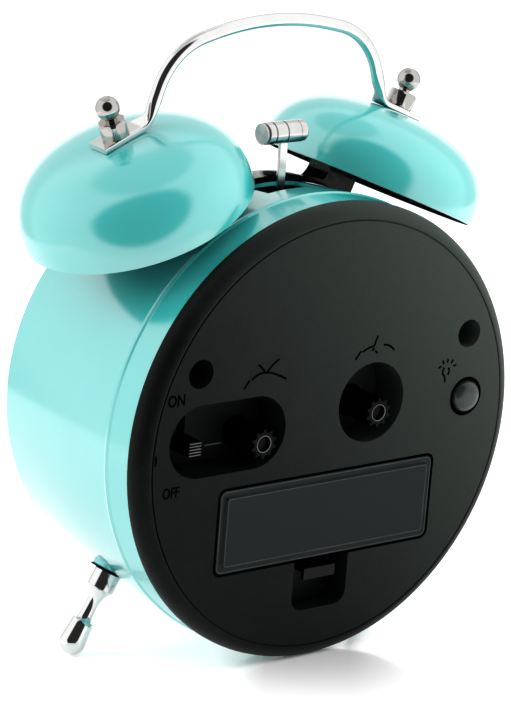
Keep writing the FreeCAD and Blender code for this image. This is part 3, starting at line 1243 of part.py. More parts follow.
def hammer():
    """Hammer head, flat arm with eye and fork, pivot pin and bracket, motor and the disc with its pin."""
    half = "hammer_head_length / 2"
    radius, shallow = "hammer_head_radius", "hammer_head_radius - hammer_groove_width"
    profile = [("0", "-(%s)" % half), (radius, "-(%s)" % half)]
    for step in (1, 3, 5):
        low = "-(%s) + hammer_head_length * %d / 7" % (half, step)
        profile += [(radius, low), (shallow, low), (shallow, low + " + hammer_groove_width"),
                    (radius, low + " + hammer_groove_width")]
    profile += [(radius, "%s - hammer_step_length" % half), (shallow, "%s - hammer_step_length" % half),
                (shallow, half), ("0", half)]
    head = turned("hammer_head", profile)
    notch = block("hammer_head_notch",
                  "-hammer_head_radius", "0", "-hammer_arm_thickness / 2", "hammer_arm_thickness / 2",
                  "-hammer_arm_width / 2", "hammer_arm_width / 2")
    local = Placement(Vector(0, -size("hammer_setback"), size("hammer_head_z")), Rotation(Vector(0, 1, 0), 90))
    notch.Placement = Placement(Vector(0, 0, 0), Rotation())
    bind(notch, "Placement.Base.x", "0")
    bind(notch, "Placement.Base.y", "-hammer_arm_thickness / 2")
    bind(notch, "Placement.Base.z", "-hammer_arm_width / 2")
    node(cut("hammer_head_cut", head, [notch]), "hammer_head", local)
    middle = size("hammer_setback")
    rear, front = -middle + size("hammer_arm_thickness / 2"), -middle - size("hammer_arm_thickness / 2")
    pivot, wide = size("hammer_pivot_z"), size("hammer_arm_width / 2")
    fork = pivot - size("hammer_fork_drop")
    gap, prong = size("hammer_fork_half_gap"), size("hammer_fork_prong")
    long_half = size("hammer_fork_length / 2")
    top = size("hammer_head_z")
    arm = polygon_solid([(-wide, pivot), (wide, pivot), (wide, top), (-wide, top)], rear, front)
    tail_top = fork + long_half + prong
    tail = polygon_solid([(-wide, tail_top - prong), (wide, tail_top - prong), (wide, pivot), (-wide, pivot)],
                         rear, front)
    fork_solid = polygon_solid([
        (-gap - prong, fork - long_half), (-gap, fork - long_half), (-gap, fork + long_half),
        (gap, fork + long_half), (gap, fork - long_half), (gap + prong, fork - long_half),
        (gap + prong, tail_top), (-gap - prong, tail_top)], rear, front)
    eye = tube_shape(size("hammer_hub_radius"), 0, rear, front, 0, pivot)
    hole = tube_shape(size("pivot_radius + pivot_clearance"), 0, rear, front, 0, pivot)
    arm = arm.fuse([tail, fork_solid, eye]).cut(hole).removeSplitter()
    node(shape_feature("hammer_arm_shape", arm), "hammer_arm")
    bracket_rear = "-hammer_setback - hammer_arm_thickness / 2 - bracket_gap"
    bracket_front = bracket_rear + " - bracket_thickness"
    pin = fuse("pivot_joined", [
        rod("pivot_pin", "pivot_radius", "-hammer_setback + hammer_arm_thickness / 2 + bracket_gap / 2",
            bracket_front, "0", "hammer_pivot_z"),
        rod("pivot_head", "pivot_radius * 2",
            "-hammer_setback + hammer_arm_thickness / 2 + bracket_gap / 2 + bracket_thickness / 2",
            "-hammer_setback + hammer_arm_thickness / 2 + bracket_gap / 2", "0", "hammer_pivot_z")])
    node(pin, "hammer_pivot")
    upright = block("bracket_upright", "-bracket_half_width", "bracket_half_width", bracket_front, bracket_rear,
                    "movement_high_z", "hammer_pivot_z + bracket_half_width")
    ledge = block("bracket_ledge", "-bracket_half_width", "bracket_half_width",
                  bracket_front + " - bracket_half_width", bracket_front,
                  "movement_high_z", "movement_high_z + bracket_thickness")
    bracket_hole = rod("bracket_hole", "pivot_radius", bracket_rear, bracket_front, "0", "hammer_pivot_z")
    node(cut("bracket_cut", fuse("bracket_joined", [upright, ledge]), [bracket_hole]), "hammer_bracket")
    arm_rear = "-hammer_setback + hammer_arm_thickness / 2"
    cam_front = arm_rear + " + cam_gap + cam_thickness"
    cam_rear = cam_front + " + cam_thickness"
    boss_front = cam_rear + " + cam_gap"
    motor_front = boss_front + " + motor_boss_length"
    fork_z = "hammer_pivot_z - hammer_fork_drop"
    bore = rod("motor_bore", "motor_shaft_radius + running_clearance",
               motor_front + " + motor_length / 2", boss_front, "0", fork_z)
    motor = fuse("motor_joined", [
        rod("motor_can", "motor_radius", motor_front + " + motor_length", motor_front, "0", fork_z),
        rod("motor_boss", "motor_boss_radius", motor_front, boss_front, "0", fork_z)])
    node(cut("motor_cut", motor, [bore]), "hammer_motor")
    shaft = rod("cam_shaft", "motor_shaft_radius", motor_front + " + motor_length / 2 - layer_gap", cam_rear,
                "0", fork_z)
    disc = rod("cam_disc", "cam_radius", cam_rear, cam_front, "0", fork_z)
    cam_pin = rod("cam_pin", "cam_pin_radius", cam_front, arm_rear + " + cam_gap", "0", fork_z + " + cam_offset")
    node(fuse("cam_joined", [shaft, disc, cam_pin]), "motor_cam")


def feet():
    """Turned chromed feet with collar, waist and bulb, their washers and the nuts inside the drum."""
    washers, nuts = [], []
    for label, side in SIDES:
        bulb_centre = "foot_length - foot_bulb_radius"
        foot = turned("foot_" + label, [
            ("0", "-foot_stud_length"), ("foot_stud_radius", "-foot_stud_length"),
            ("foot_stud_radius", "foot_washer_height"),
            ("foot_collar_radius", "foot_washer_height"),
            ("foot_collar_radius", "foot_collar_length", "foot_waist_start - foot_collar_length / 2", 1),
            ("foot_waist", "foot_waist_start", "foot_bulb_start - foot_collar_length / 2", 1),
            ("foot_flare_radius", "foot_bulb_start"),
            ("foot_bulb_neck", "foot_bulb_start"),
            ("foot_bulb_radius", bulb_centre, "foot_bulb_radius", 1),
            ("0", "foot_length"),
        ])
        node(foot, "foot_" + label, foot_local(side))
        washer = Part.makeCylinder(size("foot_washer_radius"), size("foot_washer_height"))
        washer = washer.cut(Part.makeCylinder(size("foot_stud_radius"), size("foot_washer_height")))
        washer.Placement = foot_local(side)
        washers.append(washer)
        radius = size("foot_nut_radius")
        corners = [Vector(radius * math.cos(math.radians(60 * step)), radius * math.sin(math.radians(60 * step)),
                          -size("foot_boss_height")) for step in range(7)]
        nut = Part.Face(Part.makePolygon(corners)).extrude(Vector(0, 0, -size("foot_nut_height")))
        hole = Part.makeCylinder(size("foot_stud_radius"), size("foot_stud_length"), Vector(0, 0, 0), Vector(0, 0, -1))
        nut = nut.cut(hole)
        nut.Placement = foot_local(side)
        nuts.append(nut)
    node(group("washers_shape", washers), "foot_washers")
    node(group("foot_nuts_shape", nuts), "foot_nuts")


def cover_screws():
    """Two long screws from the wells in the rear cover into the posts of the dial carrier."""
    seat = size("cover_rim_round - screw_well_depth")
    screws = []
    for label, side in SIDES:
        x, z = side * size("screw_well_x"), size("screw_well_z")
        head_top = seat + size("cover_screw_head_height")
        head = tube_shape(size("cover_screw_head"), 0, head_top, seat, x, z)
        slot = size("screw_slot_width")
        groove = Part.makeBox(4 * size("cover_screw_head"), slot, slot,
                              Vector(x - 2 * size("cover_screw_head"), head_top - slot, z - slot / 2))
        cross = Part.makeBox(slot, slot, 4 * size("cover_screw_head"),
                             Vector(x - slot / 2, head_top - slot, z - 2 * size("cover_screw_head")))
        shank = tube_shape(size("cover_screw_radius"), 0, seat, seat - size("cover_screw_length"), x, z)
        screws.append(head.cut([groove, cross]).fuse(shank))
    node(group("cover_screws_shape", screws), "cover_screws")


def movement_frame():
    """Housing open to the front, inner bridge, front plate with its bush, and four screws."""
    low, high = "movement_low_z", "movement_high_z"
    wide, wall = "movement_half_width", "movement_wall"
    outer = block("housing_outer", "-" + wide, wide, PLATE_REAR, "-movement_setback", low, high)
    inner = block("housing_inner", "-(movement_half_width - movement_wall)", "movement_half_width - movement_wall",
                  PLATE_REAR, REAR_WALL, low + " + " + wall, high + " - " + wall)
    posts, screw_holes = [], []
    for index, (x, z) in enumerate(movement_corners()):
        posts.append(rod("housing_post_%d" % index, "pillar_radius", REAR_WALL, PLATE_REAR, x, z))
        screw_holes.append(
            rod("housing_screw_hole_%d" % index, "movement_screw_radius", "-movement_setback", PLATE_REAR, x, z))
    knob_holes = [
        rod("time_shaft_hole", "knob_shaft_radius + running_clearance", "-movement_setback", REAR_WALL,
            "time_knob_x", "time_knob_z"),
        rod("alarm_shaft_hole", "knob_shaft_radius + running_clearance", "-movement_setback", REAR_WALL,
            "alarm_knob_x", "alarm_knob_z"),
        rod("second_arbor_hole", "arbor_radius + running_clearance", "-movement_setback", REAR_WALL),
    ]
    for name, place in (("third", third_axis()), ("step", step_axis()), ("rotor", rotor_axis())):
        hole = rod(name + "_arbor_hole", "arbor_radius + running_clearance", "-movement_setback", REAR_WALL)
        hole.Placement.Base = Vector(place[0], hole.Placement.Base.y, place[1])
        hole.setExpression("Placement.Base.x", None)
        hole.setExpression("Placement.Base.z", None)
        knob_holes.append(hole)
    shell = fuse("housing_shell", [cut("housing_hollow", outer, [inner])] + posts)
    node(cut("housing_cut", shell, screw_holes + knob_holes), "movement_housing")
    clear = size("running_clearance")
    thin = size("arbor_radius") + clear
    rear, front = size(BRIDGE_REAR), size(BRIDGE_FRONT)
    edge = size("movement_half_width - movement_wall - layer_gap")
    bottom, top = size("movement_low_z + movement_wall + layer_gap"), size("movement_high_z - movement_wall - layer_gap")
    plate = polygon_solid([(-edge, bottom), (edge, bottom), (edge, top), (-edge, top)], rear, front)
    holes = [tube_shape(size("minute_tube_radius") + clear, 0, rear, front)]
    for place in (third_axis(), step_axis(), rotor_axis(), work_axis()):
        holes.append(tube_shape(thin, 0, rear, front, place[0], place[1]))
    for x, z in ((size("time_knob_x"), size("time_knob_z")), (size("alarm_knob_x"), size("alarm_knob_z"))):
        holes.append(tube_shape(size("knob_shaft_radius") + clear, 0, rear, front, x, z))
    for x, z in movement_corners():
        holes.append(tube_shape(size("pillar_radius + seat_gap"), 0, rear, front, size(x), size(z)))
    window = size("stator_half_width + layer_gap")
    coil_z = coil_height()
    holes.append(polygon_solid([
        (rotor_axis()[0] - window, coil_z - size("coil_cheek_radius + layer_gap")),
        (rotor_axis()[0] + window, coil_z - size("coil_cheek_radius + layer_gap")),
        (rotor_axis()[0] + window, top), (rotor_axis()[0] - window, top)], rear, front))
    node(shape_feature("bridge_shape", plate.cut(holes)), "train_bridge")
    rear, front = size(PLATE_REAR), size(PLATE_FRONT)
    edge = size("movement_half_width")
    plate = polygon_solid([
        (-edge, size("movement_low_z")), (edge, size("movement_low_z")),
        (edge, size("movement_high_z")), (-edge, size("movement_high_z"))], rear, front)
    bush = tube_shape(size("bush_radius"), 0, front, size("-dial_setback"))
    holes = [tube_shape(size("alarm_tube_radius") + clear, 0, rear, size("-dial_setback"))]
    holes.append(tube_shape(thin, 0, rear, front, work_axis()[0], work_axis()[1]))
    for x, z in ((size("time_knob_x"), size("time_knob_z")), (size("alarm_knob_x"), size("alarm_knob_z"))):
        holes.append(tube_shape(thin, 0, rear, front, x, z))
    for x, z in movement_corners():
        holes.append(tube_shape(size("movement_screw_radius"), 0, rear, front, size(x), size(z)))
    node(shape_feature("front_plate_shape", plate.fuse(bush).cut(holes)), "movement_plate")
    screws = []
    for x, z in movement_corners():
        seat = -size("movement_setback")
        head = tube_shape(size("movement_screw_head"), 0, seat + size("movement_screw_head_height"), seat,
                          size(x), size(z))
        shank = tube_shape(size("movement_screw_radius"), 0, seat, seat - size("movement_depth + pillar_radius * 2"),
                           size(x), size(z))
        screws.append(head.fuse(shank))
    node(group("movement_screws_shape", screws), "movement_screws")


def movement_corners():
    """Places of the four screws of the movement, which the pillars share."""
    return [(side + "pillar_x", level) for side in ("-", "") for level in ("pillar_low_z", "pillar_high_z")]


def third_axis():
    return on_axis(size("third_axis_reach"), size("third_axis_angle"))


def step_axis():
    return on_axis(size("step_axis_reach"), size("step_axis_angle"))


def rotor_axis():
    x, z = step_axis()
    across, up = on_axis(size("rotor_axis_reach"), size("rotor_axis_angle"))
    return (x + across, z + up)


def work_axis():
    """The minute work's arbor: in mesh with the cannon pinion and with the setting gear."""
    module = size("work_module")
    near = module * (TEETH["cannon"] + TEETH["work_wheel"]) / 2
    far = module * (TEETH["time_gear"] + TEETH["work_wheel"]) / 2
    x, z = size("time_knob_x"), size("time_knob_z")
    span = math.hypot(x, z)
    angle = math.acos((near ** 2 + span ** 2 - far ** 2) / (2 * near * span)) + math.atan2(z, x)
    return (near * math.cos(angle), near * math.sin(angle))


def coil_height():
    return rotor_axis()[1] + size("rotor_radius + stator_gap + stator_leg / 2 + coil_cheek_radius + layer_gap")


def gear_train():
    """Wheels and pinions of the quartz train and of the hand-setting work, in mesh at rest."""
    centre, third, step, rotor, work = (0, 0), third_axis(), step_axis(), rotor_axis(), work_axis()
    time_knob = (size("time_knob_x"), size("time_knob_z"))
    alarm_knob = (size("alarm_knob_x"), size("alarm_knob_z"))
    clear, thin = size("running_clearance"), size("arbor_radius")
    wheel = size("wheel_thickness")
    gap = size("layer_gap")
    rear_end = size("-movement_setback") - gap

    def module(first, second, span):
        return 2 * span / (TEETH[first] + TEETH[second])

    def arbor(place, rear, front, radius=thin):
        return tube_shape(radius, 0, rear, front, place[0], place[1])

    # Quartz train, from the rotor to the centre wheel
    step_size = module("rotor", "step_wheel", distance(step, rotor))
    second_size = module("step_pinion", "second", distance(centre, step))
    third_size = module("second_pinion", "third", distance(centre, third))
    centre_size = module("third_pinion", "centre", distance(centre, third))
    second_phase = 0.0
    step_pinion_phase = meshed_phase(centre, second_phase, TEETH["second"], step, TEETH["step_pinion"])
    rotor_phase = meshed_phase(step, 0.0, TEETH["step_wheel"], rotor, TEETH["rotor"])
    third_phase = meshed_phase(centre, 0.0, TEETH["second_pinion"], third, TEETH["third"])
    centre_phase = meshed_phase(third, 0.0, TEETH["third_pinion"], centre, TEETH["centre"])
    second_hand_end = size(SECOND_HAND) - size("hand_thickness")
    second = gear_solid(centre, TEETH["second"], second_size, second_phase, size(SECOND_REAR), size(SECOND_FRONT))
    pinion = gear_solid(centre, TEETH["second_pinion"], third_size, 0.0, size(SECOND_FRONT), size(THIRD_FRONT))
    node(shape_feature("second_shape", second.fuse([pinion, arbor(centre, rear_end, second_hand_end)])),
         "second_wheel")
    step_wheel = gear_solid(step, TEETH["step_wheel"], step_size, 0.0, size(STEP_REAR), size(STEP_FRONT))
    step_pinion = gear_solid(step, TEETH["step_pinion"], second_size, step_pinion_phase,
                             size(SECOND_REAR), size(STEP_REAR))
    node(shape_feature("step_shape", step_wheel.fuse([step_pinion, arbor(step, rear_end, size(BRIDGE_FRONT))])),
         "intermediate_wheel")
    rotor_pinion = gear_solid(rotor, TEETH["rotor"], step_size, rotor_phase, size(STEP_REAR) + gap,
                              size(STEP_FRONT) - gap)
    magnet_rear = size(STEP_FRONT) - gap
    magnet = tube_shape(size("rotor_radius"), 0, magnet_rear, magnet_rear - size("rotor_length"), rotor[0], rotor[1])
    node(shape_feature("rotor_shape", rotor_pinion.fuse([magnet, arbor(rotor, rear_end, size(BRIDGE_FRONT))])),
         "motor_rotor")
    third_wheel = gear_solid(third, TEETH["third"], third_size, third_phase, size(THIRD_REAR), size(THIRD_FRONT))
    third_pinion = gear_solid(third, TEETH["third_pinion"], centre_size, 0.0, size(THIRD_FRONT), size(CENTRE_FRONT))
    node(shape_feature("third_shape", third_wheel.fuse([third_pinion, arbor(third, rear_end, size(BRIDGE_FRONT))])),
         "third_wheel")
    tube = size("minute_tube_radius")
    centre_wheel = gear_solid(centre, TEETH["centre"], centre_size, centre_phase, size(CENTRE_REAR),
                              size(CENTRE_FRONT), tube + clear)
    node(shape_feature("centre_shape", centre_wheel), "centre_wheel")

    # Hand-setting work, from the knob to the hour wheel
    work_size = size("work_module")
    hour_size = module("work_pinion", "hour", distance(centre, work))
    work_phase = meshed_phase(time_knob, 0.0, TEETH["time_gear"], work, TEETH["work_wheel"])
    cannon_phase = meshed_phase(work, work_phase, TEETH["work_wheel"], centre, TEETH["cannon"])
    hour_phase = meshed_phase(work, 0.0, TEETH["work_pinion"], centre, TEETH["hour"])
    cannon = gear_solid(centre, TEETH["cannon"], work_size, cannon_phase, size(WORK_REAR), size(WORK_FRONT) - gap)
    minute = cannon.fuse(arbor(centre, size(CENTRE_REAR), size(MINUTE_HAND) - size("hand_thickness"), tube))
    bore = arbor(centre, size(CENTRE_REAR), size(MINUTE_HAND) - size("hand_thickness"), thin + clear)
    node(shape_feature("minute_shape", minute.cut(bore)), "minute_arbor")
    work_wheel = gear_solid(work, TEETH["work_wheel"], work_size, work_phase, size(WORK_REAR), size(WORK_FRONT))
    work_pinion = gear_solid(work, TEETH["work_pinion"], hour_size, 0.0, size(WORK_FRONT), size(HOUR_FRONT) - gap)
    node(shape_feature("work_shape", work_wheel.fuse([work_pinion, arbor(work, size(BRIDGE_REAR), size(PLATE_FRONT))])),
         "minute_work_wheel")
    hour_tube = size("hour_tube_radius")
    hour_end = size(HOUR_HAND) - size("hand_thickness")
    hour = gear_solid(centre, TEETH["hour"], hour_size, hour_phase, size(HOUR_REAR), size(HOUR_FRONT))
    hour = hour.fuse(arbor(centre, size(HOUR_REAR), hour_end, hour_tube))
    hour = hour.cut(arbor(centre, size(HOUR_REAR), hour_end, tube + clear))
    node(shape_feature("hour_shape", hour), "hour_wheel")
    time_gear = gear_solid(time_knob, TEETH["time_gear"], work_size, 0.0, size(WORK_REAR), size(WORK_FRONT))
    time_gear = time_gear.fuse(arbor(time_knob, size(WORK_FRONT), size(PLATE_FRONT)))
    node(shape_feature("time_gear_shape", time_gear), "time_setting_gear")

    # Alarm work
    alarm_size = module("alarm_pinion", "alarm", distance(centre, alarm_knob))
    alarm_phase = meshed_phase(alarm_knob, 0.0, TEETH["alarm_pinion"], centre, TEETH["alarm"])
    alarm_end = size(ALARM_HAND) - size("hand_thickness")
    alarm = gear_solid(centre, TEETH["alarm"], alarm_size, alarm_phase, size(ALARM_REAR), size(ALARM_FRONT))
    alarm = alarm.fuse(arbor(centre, size(ALARM_REAR), alarm_end, size("alarm_tube_radius")))
    alarm = alarm.cut(arbor(centre, size(ALARM_REAR), alarm_end, hour_tube + clear))
    node(shape_feature("alarm_shape", alarm), "alarm_wheel")
    alarm_pinion = gear_solid(alarm_knob, TEETH["alarm_pinion"], alarm_size, 0.0, size(ALARM_REAR) + gap / 2,
                              size(ALARM_FRONT) - gap / 2)
    alarm_pinion = alarm_pinion.fuse(arbor(alarm_knob, size(ALARM_FRONT), size(PLATE_FRONT)))
    node(shape_feature("alarm_pinion_shape", alarm_pinion), "alarm_setting_pinion")
    for name, place, end in (("time", time_knob, size(WORK_REAR)), ("alarm", alarm_knob, size(ALARM_REAR) + gap / 2)):
        node(shape_feature(name + "_knob_shape", setting_knob(place, end)), name + "_set_knob")


def setting_knob(place, shaft_end):
    """Slender fluted knob with a dished end, and its shaft into the movement."""
    rear = size("cover_rim_round + knob_stand_out")
    front = rear - size("knob_length")
    points = []
    pitch = 2 * math.pi / KNOB_FLUTES
    for flute in range(KNOB_FLUTES):
        for reach, share in (("knob_root_radius", -ROOT_SHARE), ("knob_radius", -TIP_SHARE),
                             ("knob_radius", TIP_SHARE), ("knob_root_radius", ROOT_SHARE)):
            angle = (flute + 0.5 + share) * pitch
            points.append((place[0] + size(reach) * math.cos(angle), place[1] + size(reach) * math.sin(angle)))
    grip = polygon_solid(points, rear, front)
    dish = tube_shape(size("knob_dish_radius"), 0, rear, rear - size("knob_dish_depth"), place[0], place[1])
    shaft = tube_shape(size("knob_shaft_radius"), 0, front, shaft_end, place[0], place[1])
    return grip.cut(dish).fuse(shaft)


def stepping_motor():
    """Stator with its rotor hole, the coil on its bobbin, the circuit board and the quartz crystal."""
    rotor = rotor_axis()
    front = size(STEP_FRONT) - size("layer_gap") - size("rotor_length")
    rear = front + size("wheel_thickness")
    hole = size("rotor_radius + stator_gap")
    wide, leg = size("stator_half_width"), size("stator_leg")
    coil_z = coil_height()
    low = rotor[1] - hole - leg / 2
    high = rotor[1] + hole + leg / 2
    neck = size("coil_half_length + coil_cheek")
    plate = polygon_solid([
        (rotor[0] - hole - leg, low), (rotor[0] + hole + leg, low), (rotor[0] + wide, high),
        (rotor[0] + wide, coil_z), (rotor[0] + neck, coil_z), (rotor[0] + neck, high),
        (rotor[0] - neck, high), (rotor[0] - neck, coil_z), (rotor[0] - wide, coil_z), (rotor[0] - wide, high)],
        rear, front)
    plate = plate.cut(tube_shape(hole, 0, rear, front, rotor[0], rotor[1]))
    node(shape_feature("stator_shape", plate), "motor_stator")
    middle = (rear + front) / 2
    core_height = size("coil_core_radius")
    core = Part.makeBox(2 * wide, rear - front, core_height, Vector(rotor[0] - wide, front, coil_z))
    winding = Part.makeCylinder(size("coil_radius"), 2 * size("coil_half_length"),
                                Vector(rotor[0] - size("coil_half_length"), middle, coil_z), Vector(1, 0, 0))
    cheeks = []
    for side in (-1, 1):
        start = rotor[0] + side * size("coil_half_length") - (size("coil_cheek") if side < 0 else 0)
        cheeks.append(Part.makeCylinder(size("coil_cheek_radius"), size("coil_cheek"),
                                        Vector(start, middle, coil_z), Vector(1, 0, 0)))
    node(shape_feature("coil_shape", winding.fuse([core] + cheeks)), "motor_coil")
    wall = size(REAR_WALL)
    board_right = size("alarm_knob_x - knob_shaft_radius - layer_gap * 3")
    board_left = -size("movement_half_width - movement_wall - layer_gap")
    board_low, board_high = size("pillar_low_z + pillar_radius + layer_gap"), size("pillar_high_z - pillar_radius * 2")
    board = polygon_solid([(board_left, board_low), (board_right, board_low), (board_right, board_high),
                           (board_left, board_high)], wall, wall - size("board_thickness"))
    node(shape_feature("board_shape", board), "circuit_board")
    crystal = Part.makeCylinder(size("crystal_radius"), size("crystal_length"),
                                Vector((board_left + board_right) / 2,
                                       wall - size("board_thickness") - size("crystal_radius"),
                                       (board_low + board_high) / 2 - size("crystal_length / 2")), Vector(0, 0, 1))
    node(shape_feature("crystal_shape", crystal), "quartz_crystal")


def hand_shape(length, half_width, tail, angle, tube, height):
    """A flat tapered hand with a round eye on its tube, turned clockwise by angle degrees."""
    front, rear = height - size("hand_thickness"), height
    eye = tube + size("hand_hub_wall")
    waist, shoulder, tip = half_width * HAND_WAIST_SHARE, length * HAND_SHOULDER_SHARE, half_width * HAND_TIP_SHARE
    points = [(-waist, -tail), (waist, -tail), (waist, 0), (half_width, shoulder), (tip, length),
              (-tip, length), (-half_width, shoulder), (-waist, 0)]
    turn = math.radians(angle)
    turned_points = [(x * math.cos(turn) + z * math.sin(turn), z * math.cos(turn) - x * math.sin(turn))
                     for x, z in points]
    blade = polygon_solid(turned_points, rear, front)
    return blade.fuse(tube_shape(eye, 0, rear, front)).cut(tube_shape(tube, 0, rear, front))


def hands():
    """Alarm, hour, minute and second hands, one in front of the other."""
    minutes = size("shown_minutes + shown_seconds / 60")
    hours = size("shown_hours") + minutes / 60
    table = [
        ("alarm_hand", "alarm_hand_length", "alarm_hand_half_width", 0, size("alarm_hours") * 30,
         "alarm_tube_radius", ALARM_HAND),
        ("hour_hand", "hour_hand_length", "hour_hand_half_width", 0, hours * 30, "hour_tube_radius", HOUR_HAND),
        ("minute_hand", "minute_hand_length", "minute_hand_half_width", 0, minutes * 6,
         "minute_tube_radius", MINUTE_HAND),
        ("second_hand", "second_hand_length", "second_hand_half_width", size("second_hand_tail"),
         size("shown_seconds") * 6, "arbor_radius", SECOND_HAND),
    ]
    for name, length, half_width, tail, angle, tube, height in table:
        solid = hand_shape(size(length), size(half_width), tail, angle, size(tube), size(height))
        node(shape_feature(name + "_shape", solid), name)


def switches():
    """Alarm slide switch in the long recess, and the dial light's button with its switch board."""
    floor = size("cover_rim_round - well_depth")
    under = floor - size("well_wall")
    x, z = size("slider_x"), size("slider_z")
    half, stem = size("slider_half_size"), size("slider_stem_half_width")
    top = size("cover_rim_round - slider_depth")
    gap = size("door_gap")
    thumb = Part.makeBox(2 * half, top - floor - gap, 2 * half, Vector(x - half, floor + gap, z - half))
    grooves = []
    ridge = size("slider_ridge")
    for step in range(4):
        level = z - half + (2 * half) * (step + 0.5) / 4 - ridge / 2
        grooves.append(Part.makeBox(4 * half, ridge, ridge, Vector(x - 2 * half, top - ridge, level)))
    neck = Part.makeBox(2 * stem, floor + 2 * gap - under + gap, 2 * stem, Vector(x - stem, under - gap, z - stem))
    wide = size("slider_plate_half_width")
    plate = Part.makeBox(2 * wide, size("slider_plate_thickness"), 2 * wide + size("slider_travel"),
                         Vector(x - wide, under - gap - size("slider_plate_thickness"), z - wide))
    node(shape_feature("slider_shape", thumb.cut(grooves).fuse([neck, plate])), "alarm_switch")
    bx, bz = size("light_button_x"), size("light_button_z")
    face = size("cover_rim_round")
    radius, dome = size("light_button_radius"), size("light_button_dome")
    sphere = (radius * radius + dome * dome) / (2 * dome)
    base = face - size("light_dish_depth") + size("light_button_rim")
    cap = Part.makeSphere(sphere, Vector(bx, base + dome - sphere, bz))
    keep = tube_shape(radius, 0, base + dome * 2, base, bx, bz)
    cap = cap.common(keep)
    flange_top = size(LIGHT_FLANGE_REAR)
    flange_front = flange_top - size("light_flange")
    skirt = tube_shape(radius, 0, base, flange_top, bx, bz)
    flange = tube_shape(radius + size("light_flange"), 0, flange_top, flange_front, bx, bz)
    button = cap.fuse([skirt, flange]).removeSplitter()
    node(shape_feature("light_button_shape", button), "light_button")
    switch_top, board_top = size(LIGHT_SWITCH_REAR), size(LIGHT_BOARD_REAR)
    switch_half = size("light_switch_half_size")
    body = Part.makeBox(2 * switch_half, switch_top - board_top, 2 * switch_half,
                        Vector(bx - switch_half, board_top, bz - switch_half))
    wide, high, thick = size("light_board_width"), size("light_board_height"), size("board_thickness")
    board = Part.makeBox(wide, thick, high, Vector(bx - wide / 2, board_top - thick, bz - high / 2))
    node(shape_feature("light_switch_shape", body), "light_switch")
    node(shape_feature("light_board_shape", board), "light_board")


case_drum()
front_bezel()
dial_lens()
dial_parts()
rear_cover()
battery_parts()
bells()
bell_bridge()
studs_and_nuts()
handle()
hammer()
feet()
cover_screws()
movement_frame()
gear_train()
stepping_motor()
hands()
switches()

doc.recompute()
lean = lean_placement()
for piece, name, local in nodes:
    piece.Placement = lean.multiply(local)
doc.recompute()

problems = [item.Name for item in doc.Objects if "Invalid" in item.State or "Error" in item.State]
for piece, name, local in nodes:
    if piece.Shape.isNull() or not piece.Shape.isValid() or not piece.Shape.Solids:
        problems.append(name)
if problems:
    raise RuntimeError("these objects failed: " + ", ".join(problems))

os.makedirs("parts", exist_ok=True)
for piece, name, local in nodes:
    piece.Shape.exportStep(os.path.join("parts", name + ".step"))
print("%d sub-parts written" % len(nodes))
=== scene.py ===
"""Bell alarm clock: pieces, finishes, studio and camera.

Shapes are written in the clock's own frame, in millimetres: Y runs along the drum's axis towards the back, with
zero at the widest plane of the rear cover, Z is up the dial, and X is to the right of someone who faces the dial.
The frame's joints say how far the clock leans, and a piece is leaned and scaled once, when its mesh is made.
"""
import json
import math

import bmesh
import bpy
import numpy as np
from bpy.props import FloatProperty, FloatVectorProperty, IntProperty, PointerProperty
from mathutils import Matrix, Vector


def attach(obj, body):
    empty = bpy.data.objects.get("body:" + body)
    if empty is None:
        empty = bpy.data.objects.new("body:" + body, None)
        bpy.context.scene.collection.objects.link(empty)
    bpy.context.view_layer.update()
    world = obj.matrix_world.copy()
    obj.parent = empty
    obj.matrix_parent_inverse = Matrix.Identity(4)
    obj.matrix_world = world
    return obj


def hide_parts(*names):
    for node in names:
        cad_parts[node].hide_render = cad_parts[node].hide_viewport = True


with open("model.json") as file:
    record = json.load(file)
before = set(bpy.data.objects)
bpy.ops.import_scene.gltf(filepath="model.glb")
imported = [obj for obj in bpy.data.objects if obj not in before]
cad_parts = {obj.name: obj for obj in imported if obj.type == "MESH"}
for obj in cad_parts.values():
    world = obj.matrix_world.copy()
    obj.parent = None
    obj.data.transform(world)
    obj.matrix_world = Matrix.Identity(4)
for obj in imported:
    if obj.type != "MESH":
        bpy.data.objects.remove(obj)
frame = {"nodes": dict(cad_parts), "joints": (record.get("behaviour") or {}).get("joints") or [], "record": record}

bl_info = {
    "name": "Bell alarm clock",
    "version": (1, 0, 0),
    "blender": (4, 5, 0),
    "location": "View3D > Sidebar > Clock",
    "description": "Builds the visible pieces of a bell alarm clock, its studio and its camera",
    "category": "Object",
}

NODES = frame["nodes"]
JOINTS = {joint["name"]: joint for joint in frame["joints"]}
BODY_OF = {node: body for body, members in frame["record"]["behaviour"]["bodies"].items() for node in members}
SLOT_OF = {entry["node"]: entry["material_slot"] for entry in frame["record"]["subparts"]}
MM = 0.001
FULL_TURN = 2 * math.pi

# The lean, read from the second hand's axis: it passes the drum's middle, this far in front of the widest plane
PIVOT_SETBACK = 22.0
AXIS = Vector(JOINTS["second_turn"]["axis"])
PIVOT = Vector(JOINTS["second_turn"]["pos_m"])
LEAN = (Matrix.Translation(PIVOT + AXIS * PIVOT_SETBACK * MM)
        @ Matrix.Rotation(math.atan2(AXIS.z, AXIS.y), 4, "X") @ Matrix.Scale(MM, 4))

# Along the drum: its front edge and the dial's face. Steps round large, middling and small pieces
DRUM_FRONT, DIAL_FACE = -51.15, -45.2
FINE, MIDDLING, COARSE = 192, 96, 64

